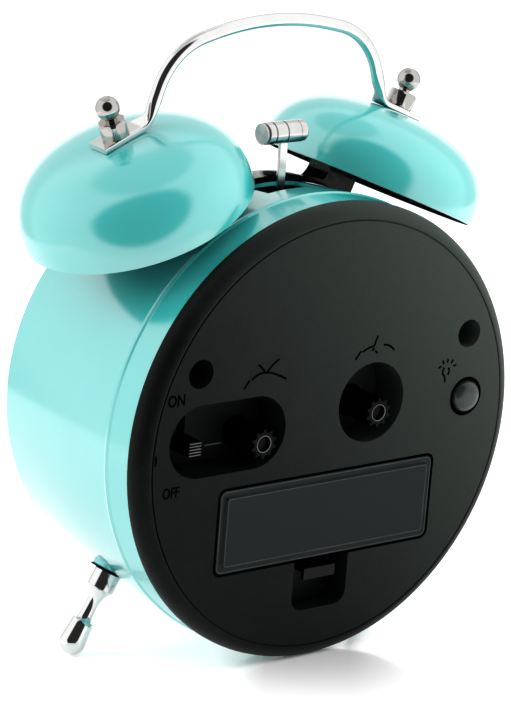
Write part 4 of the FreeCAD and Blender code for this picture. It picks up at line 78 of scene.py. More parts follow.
# Where the bells, feet, hammer, handle and rear controls sit, in the clock's frame
BELL_CENTRE = (30.78, -28.78, 43.98)
BELL_TILT = math.radians(23.1)
FOOT_SEAT = (32.0, -28.5, -35.65)
FOOT_TILT = math.radians(29.5)
HAMMER_HEAD = (0.6, -20.6, 60.1)
HANDLE_MIDDLE = -26.86
FACE = 3.42
KNOBS = {"time_set_knob": (18.6, 0.9), "alarm_set_knob": (-11.9, 3.65)}
LIGHT_BUTTON = (-36.65, 3.96)
SLIDER, SLIDER_DEPTH, RECESS_DEPTH = (33.1, 0.4), 3.9, 9.4
DOOR_HALF_WIDTH, DOOR_BOTTOM, DOOR_TOP = 28.5, -26.65, -8.34

# The signs' strokes: three places on each, across and up the rear face seen from the front
SIGNS = np.reshape([
    (24.63, 13.5), (23.95, 14.4), (23.36, 15.25),
    (22.83, 15.15), (19.26, 16.4), (13.6, 14.3),
    (21.39, 18.3), (20.3, 17.5), (19.46, 16.4),
    (15.92, 18.9), (17.5, 17.9), (18.9, 16.4),
    (-4.66, 16.15), (-5.3, 17.05), (-6.02, 17.9),
    (-6.33, 17.59), (-7.9, 18.3), (-9.48, 18.57),
    (-12.08, 18.53), (-13.6, 18.2), (-15.13, 17.05),
    (-10.3, 20.8), (-9.85, 19.8), (-9.48, 18.57),
    (-8.9, 17.6), (-9.23, 17.85), (-9.6, 18.1),
    (-9.8, 17.5), (-10.19, 17.2), (-10.6, 16.9),
    (-28.15, 11.35), (-28.49, 11.5), (-28.9, 11.65),
    (-29.15, 12.9), (-29.38, 12.45), (-29.6, 12.1),
    (-30.62, 13.1), (-30.6, 12.7), (-30.55, 12.3),
    (-32.15, 12.8), (-31.86, 12.4), (-31.6, 12.05),
    (-33.1, 11.55), (-32.75, 11.4), (-32.35, 11.3),
    (-29.72, 11.33), (-29.45, 10.5), (-29.57, 9.67),
    (-29.57, 9.67), (-30.1, 9.0), (-30.28, 7.89),
    (-30.9, 11.1), (-31.25, 10.3), (-30.9, 9.5),
    (46.1, 2.0), (46.0, 0.9), (46.1, -0.2),
], (-1, 3, 2))

ALONG_DRUM = LEAN @ Matrix.Rotation(-math.pi / 2, 4, "X")
FROM_FRONT = LEAN @ Matrix.Translation((0, DIAL_FACE, 0)) @ Matrix.Rotation(math.pi / 2, 4, "X")
FROM_BACK = LEAN @ Matrix.Translation((0, FACE, 0)) @ Matrix.Rotation(math.pi, 4, "Z") @ Matrix.Rotation(
    math.pi / 2, 4, "X")


def sided(centre, tilt, side, down=False):
    """Place of a piece turned about its own Z axis, leaning outward on its side of the clock."""
    x, y, z = centre
    spin = math.pi - tilt if down else tilt
    return LEAN @ Matrix.Translation((side * x, y, z)) @ Matrix.Rotation(side * spin, 4, "Y")


def number(name, text, default, low, high, **more):
    """A property that holds a number."""
    return FloatProperty(name=name, description=text, default=default, min=low, max=high, **more)


def measure(name, text, default, low, high):
    """A property that holds a length."""
    return number(name, text + ", in millimetres", default, low, high)


def shade(name, text, default):
    """A property that holds a linear colour."""
    return FloatVectorProperty(name=name, description=text, subtype="COLOR", default=default, min=0, max=1)


class ClockSizes(bpy.types.PropertyGroup):
    """Sizes that a user would change."""

    bell_radius: measure("Bell radius", "Outer radius of a bell's rim", 25.03, 15, 27)
    bell_height: measure("Bell height", "Rim to crown of a bell", 16.92, 8, 17)
    bell_power: number("Bell roundness", "Exponent of the bell's section: 2 is a plain dome", 2.53, 1.5, 5)
    sheet: measure("Sheet", "Thickness of the drum's and bells' sheet", 0.8, 0.3, 1.2)
    handle_rod: measure("Handle rod", "Radius of the handle's round rod", 1.45, 0.8, 1.8)
    handle_width: measure("Handle tab", "Width of the handle's flattened ends", 6.2, 3, 8)
    handle_thickness: measure("Tab thickness", "Thickness of the flattened ends", 1.2, 0.6, 2)
    sign_width: measure("Sign stroke", "Width of the engraved signs' strokes", 0.42, 0.1, 1)
    segments: IntProperty(name="Segments", description="Steps round a turned piece", default=144, min=24, max=256)


class ClockColours(bpy.types.PropertyGroup):
    """Colours that a user would change, linear."""

    enamel: shade("Enamel", "Painted drum and bells", (0.047, 0.415, 0.40))
    cover: shade("Cover", "Moulded rear cover", (0.0042, 0.0064, 0.0054))
    door: shade("Door", "Battery door", (0.0036, 0.0068, 0.0074))
    chrome: shade("Chrome", "Handle and feet", (0.70, 0.70, 0.69))
    dial: shade("Dial", "Printed dial", (0.86, 0.86, 0.83))


class ClockStudio(bpy.types.PropertyGroup):
    """Light and camera."""

    key_power: number("Key light", "Power of the light on the cover's side", 4.0, 0, 100, subtype="POWER")
    fill_power: number("Fill light", "Power of the light on the dial's side", 4.0, 0, 100, subtype="POWER")
    world_level: number("Surroundings", "Brightness of the white surroundings", 0.80, 0, 4)
    mirrored_level: number("Mirrored", "Brightness of the surroundings in glossy pieces", 1.15, 0, 4)
    lens: measure("Lens", "Focal length", 186.0, 20, 400)


def sizes():
    """The sizes that the user has set."""
    return bpy.context.scene.clock_sizes


def leaned(points, place):
    """Points as an array with a last axis of three, carried by a 4x4 place into the row frame."""
    matrix = np.array(place)
    return points @ matrix[:3, :3].T + matrix[:3, 3]


def rounded(corners, steps=6):
    """Corners (across, up, radius) joined by straight runs. Each corner becomes an arc that touches both its runs:
    it starts radius * tan(turn / 2) before the corner and turns evenly. Places are complex numbers meanwhile."""
    corner = np.array([complex(*c[:2]) for c in corners])
    path = [corner[:1]]
    for here in range(1, len(corner) - 1):
        radius = corners[here][2] if len(corners[here]) > 2 else 0
        if radius <= 0:
            path.append(corner[here:here + 1])
            continue
        arriving, leaving = (run / abs(run) for run in np.diff(corner[here - 1:here + 2]))
        turn = np.angle(leaving / arriving)
        start = corner[here] - arriving * radius * math.tan(abs(turn) / 2)
        inward = 1j * arriving * math.copysign(radius, turn)
        path.append(start + inward * (1 - np.exp(1j * turn * np.linspace(0, 1, steps + 1))))
    path = np.concatenate(path + [corner[-1:]])
    return np.stack([path.real, path.imag], 1)


def ring(corners, steps=6):
    """A closed section: the path of rounded(), begun and ended in the middle of its last run."""
    middle = tuple(np.add(corners[0][:2], corners[-1][:2]) / 2)
    return rounded([middle, *corners, middle], steps)[:-1]


def mesh_of(name, points, faces):
    """A mesh from arrays of points and of quads."""
    mesh = bpy.data.meshes.new(name)
    mesh.from_pydata(points.reshape(-1, 3).tolist(), [], faces.reshape(-1, 4).tolist())
    return mesh


def grid_mesh(name, points, around=False, along=False, holes=None):
    """Quads over a grid of points (rows, columns, 3). around joins the last column to the first, along the last
    row to the first, and holes marks cells that stay open."""
    rows, columns = points.shape[:2]
    row = np.arange(rows if along else rows - 1)[:, None]
    column = np.arange(columns if around else columns - 1)[None, :]
    below, beside = (row + 1) % rows, (column + 1) % columns
    faces = np.stack([row * columns + column, row * columns + beside, below * columns + beside,
                      below * columns + column], -1)
    if holes is not None:
        faces = faces[~holes]
    return mesh_of(name, points, faces)


def joined(name, meshes):
    """One mesh from several."""
    whole = bmesh.new()
    for mesh in meshes:
        whole.from_mesh(mesh)
        bpy.data.meshes.remove(mesh)
    mesh = bpy.data.meshes.new(name)
    whole.to_mesh(mesh)
    whole.free()
    return mesh


def read(items, key, kind, count=1):
    """That value of all items, as an array."""
    values = np.empty(count * len(items), kind)
    items.foreach_get(key, values)
    return values


def piece(name, mesh, material, body="clock", stands_for=(), slot=None, angle=38, weld=2e-7, flat=False):
    """Turn a mesh into a finished piece: doubles merged, faces outward, smooth but for edges sharper than angle,
    and where flat is set also for the border of each face that looks along the drum's axis. A piece that stands for
    a node takes its body. The slot argument is not used."""
    if stands_for:
        body = BODY_OF[stands_for[0]]
        slot = SLOT_OF[stands_for[0]] if slot is None else slot
    tidy = bmesh.new()
    tidy.from_mesh(mesh)
    bmesh.ops.remove_doubles(tidy, verts=tidy.verts, dist=weld)
    bmesh.ops.dissolve_degenerate(tidy, edges=tidy.edges, dist=weld)
    bmesh.ops.recalc_face_normals(tidy, faces=tidy.faces)
    tidy.to_mesh(mesh)
    tidy.free()
    mesh.shade_smooth()
    mesh.set_sharp_from_angle(angle=math.radians(angle))
    if flat:
        level = np.abs(read(mesh.polygons, "normal", float, 3).reshape(-1, 3) @ np.array(AXIS)) > 0.99999
        borders = np.repeat(level, read(mesh.polygons, "loop_total", int))
        touching = np.bincount(read(mesh.loops, "edge_index", int), borders, len(mesh.edges))
        mesh.edges.foreach_set("use_edge_sharp", read(mesh.edges, "use_edge_sharp", bool) | (touching == 1))
    mesh.materials.append(finish(material))
    thing = bpy.data.objects.new(name, mesh)
    bpy.context.scene.collection.objects.link(thing)
    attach(thing, body)
    if stands_for:
        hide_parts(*stands_for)
    return thing


def turned_mesh(name, section, place, closed=True, segments=None):
    """A section of (radius, height) carried round its axis: x = radius cos a, y = radius sin a, z = height. The
    section is closed, or else it begins and ends on the axis."""
    angle = np.linspace(0, FULL_TURN, segments or sizes().segments, endpoint=False)
    radius, height = np.hsplit(np.asarray(section, float), 2)
    points = np.stack([radius * np.cos(angle), radius * np.sin(angle), height + 0 * angle], -1)
    return grid_mesh(name, leaned(points, place), around=True, along=closed)


def turned_piece(name, section, place, material, closed=True, segments=None, **more):
    return piece(name, turned_mesh(name, section, place, closed, segments), material, **more)


def smooth(share):
    """0 below 0, 1 above 1, and 3 s^2 - 2 s^3 in between."""
    share = np.clip(share, 0, 1)
    return share * share * (3 - 2 * share)


def travelled(path):
    """How far along the path each of its points lies."""
    return np.concatenate([[0], np.cumsum(np.hypot(*np.diff(path, axis=0).T))])


def spread(path, count):
    """The same path with count points at even distances."""
    reach = travelled(path)
    even = np.linspace(0, reach[-1], count)
    return np.stack([np.interp(even, reach, line) for line in path.T], 1)


def bars(name, paths, widths, low, high, place, material, **more):
    """Flat bars along centre lines, an array (bars, points, 2): each side lies half the bar's width off the line,
    along the line's normal, and the bar is lifted from low to high."""
    step = np.gradient(paths, axis=1)
    step /= np.linalg.norm(step, axis=2, keepdims=True)
    side = np.stack([-step[..., 1], step[..., 0]], -1) * np.broadcast_to(widths, len(paths))[:, None, None] / 2
    loop = np.stack([paths - side, paths + side, paths + side, paths - side], 2)
    lift = np.broadcast_to(np.array([low, low, high, high], float)[:, None], loop.shape[:-1] + (1,))
    corner = np.arange(loop[..., 0].size).reshape(loop.shape[:-1])
    beside = np.roll(corner, -1, 2)
    sides = np.stack([corner[:, :-1], beside[:, :-1], beside[:, 1:], corner[:, 1:]], -1).reshape(-1, 4)
    faces = np.concatenate([sides, corner[:, 0], corner[:, -1]])
    return piece(name, mesh_of(name, leaned(np.concatenate([loop, lift], -1), place), faces), material, **more)


def border(name, outside, inside, low, high, material, **more):
    """A flat frame between two closed outlines of the rear face, lifted from low to high."""
    rows = [np.column_stack([outline, np.full(len(outline), level)])
            for outline, level in ((outside, low), (outside, high), (inside, high), (inside, low))]
    mesh = grid_mesh(name, leaned(np.stack(rows), FROM_BACK), around=True, along=True)
    return piece(name, mesh, material, **more)


def letters(name, words, size, middle, place, material, depth, stretch=1.0, weight=0.0):
    """Words as a thin solid, centred at middle. stretch widens them and weight thickens their strokes."""
    curve = bpy.data.curves.new(name, "FONT")
    for key, value in dict(body=words, size=size, align_x="CENTER", align_y="CENTER", extrude=depth / 2,
                           offset=weight, resolution_u=6).items():
        setattr(curve, key, value)
    holder = bpy.data.objects.new(name, curve)
    bpy.context.scene.collection.objects.link(holder)
    bpy.context.view_layer.update()
    mesh = bpy.data.meshes.new_from_object(holder.evaluated_get(bpy.context.evaluated_depsgraph_get()))
    bpy.data.objects.remove(holder)
    mesh.transform(place @ Matrix.Translation((*middle, depth / 2)) @ Matrix.Diagonal((stretch, 1, 1, 1)))
    return piece(name, mesh, material, angle=30)


def dressed(node, material, angle=30, bevel=0.0, segments=2):
    """A merged copy of a CAD node with smooth shading, and its sharp edges rounded by bevel millimetres."""
    mesh = NODES[node].data.copy()
    mesh.materials.clear()
    thing = piece(node + "_dressed", mesh, material, stands_for=(node,), angle=angle, weld=1e-6, flat=True)
    if bevel:
        soft = thing.modifiers.new("edge", "BEVEL")
        soft.width = bevel * MM
        soft.segments = segments
        soft.limit_method = "ANGLE"
        soft.angle_limit = math.radians(35)
    level = thing.modifiers.new("level", "WEIGHTED_NORMAL")
    level.keep_sharp = True
    level.weight = 100
    return thing


class Socket:
    """A node's output, with arithmetic: an expression on values adds its Math nodes."""

    def __init__(self, tree, output):
        self.tree, self.output = tree, output

    def math(self, operation, *values):
        return self.tree.node("ShaderNodeMath", {"operation": operation}, dict(enumerate((self,) + values)))

    def __add__(self, other):
        return self.math("ADD", other)

    def __mul__(self, other):
        return self.math("MULTIPLY", other)

    def __sub__(self, other):
        return self.math("SUBTRACT", other)

    def __rsub__(self, other):
        return self * -1 + other

    __radd__, __rmul__ = __add__, __mul__

    def between(self, low, high, how="LINEAR"):
        """0 below low and 1 above high."""
        return self.tree.node("ShaderNodeMapRange", {"interpolation_type": how}, {0: self, 1: low, 2: high})


class Tree:
    """A node tree being made, of a material or of the world."""

    def __init__(self, owner):
        owner.use_nodes = True
        self.nodes, self.links = owner.node_tree.nodes, owner.node_tree.links

    def join(self, value, socket):
        """A link where the value is a Socket, and else the socket's own value."""
        if isinstance(value, Socket):
            self.links.new(value.output, socket)
        else:
            socket.default_value = value

    def node(self, kind, settings=None, inputs=None, output=0):
        """A node of this kind: settings first, then its sockets' values or links."""
        made = self.nodes.new(kind)
        for key, value in (settings or {}).items():
            setattr(made, key, value)
        for key, value in (inputs or {}).items():
            self.join(value, made.inputs[key])
        return Socket(self, made.outputs[output])

    def along(self, place, direction):
        """How far a place lies along a direction."""
        return self.node("ShaderNodeVectorMath", {"operation": "DOT_PRODUCT"}, {0: place, 1: direction}, "Value")


class Finish(Tree):
    """A material being made."""

    def __init__(self, name):
        self.material = bpy.data.materials.new(name)
        super().__init__(self.material)
        self.shader = self.nodes["Principled BSDF"]

    def place(self):
        return self.node("ShaderNodeTexCoord", output="Object")

    def noise(self, scale, detail=3.0, roughness=0.5):
        return self.node("ShaderNodeTexNoise", {}, {
            "Vector": self.place(), "Scale": scale, "Detail": detail, "Roughness": roughness}, "Fac")

    def cells(self, scale):
        return self.node("ShaderNodeTexVoronoi", {}, {"Vector": self.place(), "Scale": scale}, "Distance")

    def mix(self, share, first, second):
        """Colours first and second mixed by share."""
        return self.node("ShaderNodeMix", {"data_type": "RGBA"}, {0: share, 6: first, 7: second}, output=2)

    def bump(self, height, strength, distance):
        """Normal from a height in metres times distance."""
        return self.node("ShaderNodeBump", {}, {"Strength": strength, "Distance": distance, "Height": height})

    def set(self, **values):
        """Values or links of the shader's sockets, with spaces in their names written as underscores."""
        for key, value in values.items():
            self.join(value, self.shader.inputs[key.replace("_", " ")])
        return self.material


def rgba(tone, strength=1.0):
    """A colour's channels times strength, with alpha. The colour may be the name of one of ClockColours."""
    channels = getattr(bpy.context.scene.clock_colours, tone) if isinstance(tone, str) else tone
    return tuple(min(channel * strength, 1.0) for channel in channels) + (1.0,)


FINISHES = {}


def finish(name):
    """The material of that name, made once."""
    if name not in FINISHES:
        maker, *told = MAKERS[name]
        FINISHES[name] = maker(name, *told)
    return FINISHES[name]


def enamel(name):
    """Sprayed gloss enamel: faint cloudiness, orange-peel ripple and a clear top coat."""
    made = Finish(name)
    cloud = made.noise(60, 2)
    colour = made.mix(cloud.between(0.3, 0.7), rgba("enamel", 0.97), rgba("enamel", 1.03))
    ripple = made.bump(made.noise(420, 2), 0.04, 0.0004)
    return made.set(Base_Color=colour, Roughness=0.28 + 0.06 * cloud, Normal=ripple, Coat_Weight=1.0,
                    Coat_Roughness=0.13, Coat_IOR=2.2, Specular_IOR_Level=0.5)


def moulded(name, colour, rough, grain, speck=0.0, shine=0.2, painted_lighting=None):
    """Moulded black plastic: fine grain, faint mottling, pale dust specks where speck is above zero, and where
    painted_lighting is given as (direction, low, high, power, start, end) painted light and shade: a tone that goes
    from start times the colour to the colour end with the power of the way along the direction."""
    made = Finish(name)
    mottle = made.noise(180, 4, 0.6)
    base = made.mix(mottle.between(0.35, 0.65), rgba(colour, 0.65), rgba(colour, 1.4))
    # Painted light and shade: the colour turns from start times the colour to end along the direction, as light
    # falling on one side would
    if painted_lighting:
        direction, low, high, power, start, end = painted_lighting
        tone = made.along(made.place(), direction).between(low, high).math("POWER", power)
        base = made.mix(tone, made.mix(start, (0, 0, 0, 1), base), rgba(end))
    if speck:
        dust = 1 - made.cells(900).between(0.02, 0.06)
        patch = made.noise(70, 1).between(0.58, 0.70)
        base = made.mix(dust * patch * speck, base, (0.12, 0.12, 0.115, 1))
    return made.set(Base_Color=base, Roughness=rough + 0.12 * (mottle - 0.5), Specular_IOR_Level=shine,
                    Normal=made.bump(made.noise(2600, 2, 0.7), grain, 0.0002))


def plated(name, colour, rough, smudge=0.05):
    """Bright plating: nearly mirror smooth, with faint smudges."""
    made = Finish(name)
    cloud = made.noise(140, 3, 0.6)
    ripple = made.bump(made.noise(90, 1), 0.03, 0.001)
    tint = made.mix(cloud.between(0.4, 0.7), rgba(colour), rgba(colour, 0.92))
    return made.set(Base_Color=tint, Metallic=1.0, Roughness=rough + smudge * cloud.between(0.45, 0.8),
                    Normal=ripple)


def machined(name, colour, rough, metallic=1.0, scale=1500):
    """Metal or plastic with fine marks from the tool."""
    made = Finish(name)
    mark = made.noise(scale, 3, 0.7)
    tint = made.mix(mark, rgba(colour, 0.85), rgba(colour, 1.1))
    return made.set(Base_Color=tint, Metallic=metallic, Roughness=rough + 0.15 * (mark - 0.5),
                    Normal=made.bump(mark, 0.12, 0.0002))


def speckled_black(name):
    """Glossy black enamel with fine pale flecks."""
    made = Finish(name)
    fleck = 1 - made.cells(1700).between(0.12, 0.26)
    patch = made.noise(420, 2).between(0.50, 0.60)
    colour = made.mix(fleck * patch * 0.7, (0.0015, 0.0032, 0.0036, 1), (0.24, 0.29, 0.29, 1))
    return made.set(Base_Color=colour, Roughness=0.10 + 0.1 * patch, Specular_IOR_Level=0.12)


def clear_lens(name):
    """Clear moulded lens with very faint marks."""
    made = Finish(name)
    marks = made.noise(300, 2)
    return made.set(Base_Color=(0.97, 0.99, 0.99, 1), Roughness=0.01 + 0.02 * marks, Transmission_Weight=1.0,
                    IOR=1.46)


def printed(name, colour, rough=0.45, shine=0.5):
    """Printed or painted flat finish with a trace of paper-like grain."""
    made = Finish(name)
    grain = made.noise(900, 2)
    tint = made.mix(grain, rgba(colour, 0.95), rgba(colour, 1.04))
    return made.set(Base_Color=tint, Roughness=rough + 0.1 * grain, Specular_IOR_Level=shine,
                    Normal=made.bump(grain, 0.05, 0.0001))


def wound_copper(name):
    """Enamelled wire, turn beside turn, across the coil."""
    made = Finish(name)
    turn = made.node("ShaderNodeTexWave", {"bands_direction": "X"}, {
        "Vector": made.place(), "Scale": 2600, "Distortion": 0.3}, "Fac")
    colour = made.mix(turn, (0.16, 0.05, 0.02, 1), (0.62, 0.26, 0.12, 1))
    return made.set(Base_Color=colour, Metallic=0.85, Roughness=0.32 + 0.1 * turn,
                    Normal=made.bump(turn, 0.5, 0.0001))


# Each finish: who makes it and what the maker is told. A colour may be the name of one of ClockColours
MAKERS = {
    "enamel": (enamel,),
    # The cover is painted lighter towards the top and the right softbox's side, darker towards the bottom: painted
    # light and shade
    "cover": (moulded, "cover", 0.46, 0.35, 1.0, 0.105,
              ((-0.8, 0, 0.6), -0.01, 0.09, 2.0, 0.5, (0.049, 0.060, 0.053))),
    # The door is painted nearly black below a level near its lower edge, over its tongue: painted shade
    "door": (moulded, "door", 0.36, 0.05, 0.3, 0.17, ((0, 0, 1), 0.0205, 0.0222, 1.0, 0.05, "door")),
    # Paler than the black door: painted highlights along the door's border lines
    "edge": (moulded, (0.018, 0.022, 0.021), 0.35, 0.05, 0.0, 0.3),
    # Much paler than the black knobs: painted highlights on the knobs' dish rims, the slider's ridges and the
    # slot's edge
    "rim": (moulded, (0.10, 0.105, 0.103), 0.4, 0.05, 0.0, 0.4),
    "knob": (moulded, (0.0010, 0.0012, 0.0013), 0.34, 0.05, 0.0, 0.07),
    # Near black: the engraved words and signs, the flat ring round the light button, and painted shadow in the
    # strip round the battery door
    "engraving": (moulded, (0.0006, 0.0008, 0.0008), 0.9, 0.05, 0.0, 0.0),
    "button": (moulded, (0.016, 0.022, 0.020), 0.24, 0.03, 0.0, 0.5),
    "housing": (moulded, (0.040, 0.041, 0.043), 0.5, 0.08),
    "saddle": (speckled_black,),
    "chrome": (plated, "chrome", 0.06),
    "bezel_plating": (plated, (0.92, 0.92, 0.92), 0.14),
    "nut_plating": (plated, (0.44, 0.43, 0.41), 0.08),
    "nickel": (plated, (0.60, 0.595, 0.58), 0.17, 0.12),
    "arm_steel": (plated, (0.72, 0.72, 0.71), 0.2, 0.1),
    "turned_steel": (machined, (0.42, 0.42, 0.41), 0.42, 0.25),
    "steel": (machined, (0.56, 0.56, 0.57), 0.32),
    "magnet": (machined, (0.16, 0.16, 0.17), 0.4),
    "brass": (machined, (0.70, 0.50, 0.22), 0.25),
    "acetal": (machined, (0.78, 0.77, 0.72), 0.38, 0.0, 700),
    "silver": (machined, (0.72, 0.72, 0.73), 0.25),
    "ring_white": (printed, (0.80, 0.80, 0.79), 0.3),
    "dial": (printed, "dial"),
    "ink": (printed, (0.010, 0.010, 0.011), 0.35),
    "red": (printed, (0.55, 0.03, 0.03), 0.3),
    "board": (printed, (0.03, 0.17, 0.07), 0.3),
    "lamp": (printed, (0.75, 0.84, 0.92), 0.12),
    "jacket": (printed, (0.05, 0.12, 0.10), 0.3),
    "copper": (wound_copper,),
    "lens": (clear_lens,),
}


class ClockOperator(bpy.types.Operator):
    """Base of the clock's operators."""

    bl_options = {"REGISTER", "UNDO"}

    def execute(self, context):
        self.make()
        return {"FINISHED"}


class CLOCK_OT_drum(ClockOperator):
    """Painted sheet drum with its bead, front lip, hammer slot and two foot bosses."""

    bl_idname = "clock.drum"
    bl_label = "Drum"

    def make(self):
        wall = sizes().sheet
        slot, half_slot, steps = (-15.5, -24.0), 7.0, 8
        rear, front, lip, back = 49.4, 45.76, 41.56, -0.8
        outer = rounded([(rear, back), (49.66, -7.9, 0.4), (49.98, -8.5, 0.35), (49.72, -9.3, 0.4),
                         (front, DRUM_FRONT, 0.5), (lip, DRUM_FRONT)], 8)
        inner = rounded([(lip, wall + DRUM_FRONT), (front - wall, wall + DRUM_FRONT), (49.78 - wall, -8.66, 0.9),
                         (rear - wall, back)], 8)
        section = np.concatenate([self.cut(outer, slot), self.cut(inner, slot[::-1])])
        reach, upright = math.asin(half_slot / 48.7), math.pi / 2
        angle = np.concatenate([np.linspace(upright - reach, upright + reach, steps + 1),
                                np.linspace(upright + reach, upright - reach + FULL_TURN, 172)[1:-1]])
        radius, along = section[:, 0][:, None], section[:, 1][:, None]
        grid = np.stack([radius * np.cos(angle), along + 0 * angle, radius * np.sin(angle)], -1)
        middle = (section[:, 1] + np.roll(section[:, 1], -1)) / 2
        holes = ((middle < slot[0]) & (middle > slot[1]))[:, None] & (np.arange(len(angle)) < steps)[None, :]
        rows = np.flatnonzero(np.isclose(section[:, 1], slot[0]) | np.isclose(section[:, 1], slot[1]))
        loops = [np.concatenate([grid[first, :steps + 1], grid[last, steps::-1]])
                 for first, last in (rows[:2], rows[:1:-1])]
        meshes = [grid_mesh("shell", leaned(grid, LEAN), around=True, along=True, holes=holes),
                  grid_mesh("slot_wall", leaned(np.stack(loops), LEAN), around=True)]
        boss = ring([(4.0, 0.0, 0.25), (4.3, -3.4), (1.6, -3.4), (1.6, 0.0)])
        meshes += [turned_mesh("boss", boss, sided(FOOT_SEAT, FOOT_TILT, side, down=True), segments=COARSE)
                   for side in (-1, 1)]
        piece("drum", joined("drum", meshes), "enamel", stands_for=("case_drum",), angle=50)

    @staticmethod
    def cut(path, heights):
        """The path with a point added at each of these heights, in the order in which it reaches them."""
        for height in heights:
            span = np.flatnonzero((path[:-1, 1] - height) * (path[1:, 1] - height) < 0)[0]
            share = (height - path[span, 1]) / (path[span + 1, 1] - path[span, 1])
            path = np.insert(path, span + 1, path[span] + share * (path[span + 1] - path[span]), axis=0)
        return path


class CLOCK_OT_bells(ClockOperator):
    """Two pressed bells, black inside: radius times cosine and height times sine of one angle, each to the power
    two over the exponent, with a rolled rim and a stud hole in the crown."""

    bl_idname = "clock.bells"
    bl_label = "Bells"

    def make(self):
        radius, height, power, wall = sizes().bell_radius, sizes().bell_height, sizes().bell_power, sizes().sheet
        paint = 0.08

        def dome(inset, hole=1.5):
            angle = np.pi / 2 * (1 - np.cos(np.linspace(0, np.pi, 56))) / 2
            across = (radius - inset) * np.cos(angle) ** (2 / power)
            up = (height - inset) * np.sin(angle) ** (2 / power)
            keep = across > hole
            edge = np.interp(hole, across[::-1], up[::-1])
            return np.concatenate([np.stack([across[keep], up[keep]], 1), [[hole, edge]]])

        angle = np.linspace(0, np.pi, 9)[1:-1]
        rim = np.stack([radius - wall / 2 - wall / 2 * np.cos(angle), 0.12 - 0.12 * np.sin(angle)], 1)
        section = np.concatenate([dome(0)[1:], dome(wall)[::-1][:-1], rim])
        lining = np.concatenate([dome(wall), dome(wall + paint)[::-1]])
        for name, side in (("left", -1), ("right", 1)):
            place = sided(BELL_CENTRE, BELL_TILT, side)
            turned_piece("bell_" + name + "_dome", section, place, "enamel", stands_for=("bell_" + name,), angle=50)
            turned_piece("bell_" + name + "_lining", lining, place, "saddle", slot="gloss_black", angle=50)


class CLOCK_OT_front(ClockOperator):
    """Chromed bezel, clear domed lens and the white ring behind it."""

    bl_idname = "clock.front"
    bl_label = "Bezel and lens"

    def make(self):
        seat = -52.75
        bezel = ring([(45.3, DRUM_FRONT, 0.2), (45.3, -55.55, 2.2), (40.9, -55.55, 0.9), (39.8, -53.85, 0.3),
                      (39.8, seat, 0.1), (42.7, seat, 0.1), (42.7, DRUM_FRONT, 0.1)], 10)
        turned_piece("bezel_ring", bezel, ALONG_DRUM, "bezel_plating", stands_for=("front_bezel",), segments=FINE)
        flat, edge, crown, front = 39.7, 42.6, 1.2, -52.65
        sphere = (flat ** 2 + crown ** 2) / (2 * crown)
        reach = np.linspace(0, flat, 24)
        rise = np.sqrt(sphere ** 2 - reach ** 2) - (sphere - crown)
        outside = np.stack([reach, front - rise], 1)
        inside = np.stack([reach, DRUM_FRONT - rise], 1)[::-1]
        rim = [(42.5, front), (edge, -52.55), (edge, -51.25), (42.5, DRUM_FRONT)]
        turned_piece("lens_disc", np.concatenate([outside, rim, inside]), ALONG_DRUM, "lens", closed=False,
                     stands_for=("dial_lens",), segments=FINE)
        band = ring([(43.6, -50.35, 0.1), (43.6, DIAL_FACE, 0.1), (38.2, DIAL_FACE, 0.1), (39.8, -50.35, 0.2)])
        turned_piece("inner_ring", band, ALONG_DRUM, "ring_white", stands_for=("dial_ring",), segments=FINE)


class CLOCK_OT_dial(ClockOperator):
    """Printed dial with numerals, minute track and four hands."""

    bl_idname = "clock.dial"
    bl_label = "Dial and hands"

    def make(self):
        disc = ring([(x, z, 0.05) for x, z in ((43.6, DIAL_FACE), (43.6, -44.8), (4.6, -44.8), (4.6, DIAL_FACE))])
        turned_piece("dial_disc", disc, ALONG_DRUM, "dial", stands_for=("dial",), segments=FINE)
        turn = np.radians(6 * np.arange(60))
        hourly = np.arange(60) % 5 == 0
        outward = np.stack([np.sin(turn), np.cos(turn)], 1)
        ends = np.stack([np.where(hourly, 34.6, 36.0), np.full(60, 37.4)], 1)
        bars("minute_track", outward[:, None, :] * ends[:, :, None], np.where(hourly, 0.9, 0.32), 0.03, 0.06,
             FROM_FRONT, "ink")
        for hour in range(1, 13):
            turn = math.radians(30 * hour)
            middle = (28.6 * math.sin(turn), 28.6 * math.cos(turn))
            letters("numeral_%02d" % hour, str(hour), 7.4, middle, FROM_FRONT, "ink", 0.05)
        for name, material in (("alarm_hand", "red"), ("hour_hand", "ink"), ("minute_hand", "ink"),
                               ("second_hand", "silver")):
            dressed(name, material, bevel=0.06)


class CLOCK_OT_cover(ClockOperator):
    """Moulded rear cover with its engraved words and signs, and its screws."""

    bl_idname = "clock.cover"
    bl_label = "Rear cover"

    def make(self):
        dressed("rear_cover", "cover", angle=28)
        for word, size, middle, stretch in (("ON", 3.5, (-41.8, 13.1), 0.80), ("OFF", 3.3, (-41.6, -6.7), 0.74)):
            letters("word_" + word.lower(), word, size, middle, FROM_BACK, "engraving", 0.06, stretch, 0.03)
        t = np.linspace(0, 1, 9)
        shares = np.stack([(1 - t) * (1 - 2 * t), 4 * t * (1 - t), t * (2 * t - 1)], 1)
        lines = np.einsum("tk,skc->stc", shares, SIGNS) * [-1, 1]
        bars("engraved_signs", lines, sizes().sign_width, 0.0, 0.05, FROM_BACK, "engraving")
        dressed("cover_screws", "steel", bevel=0.08)


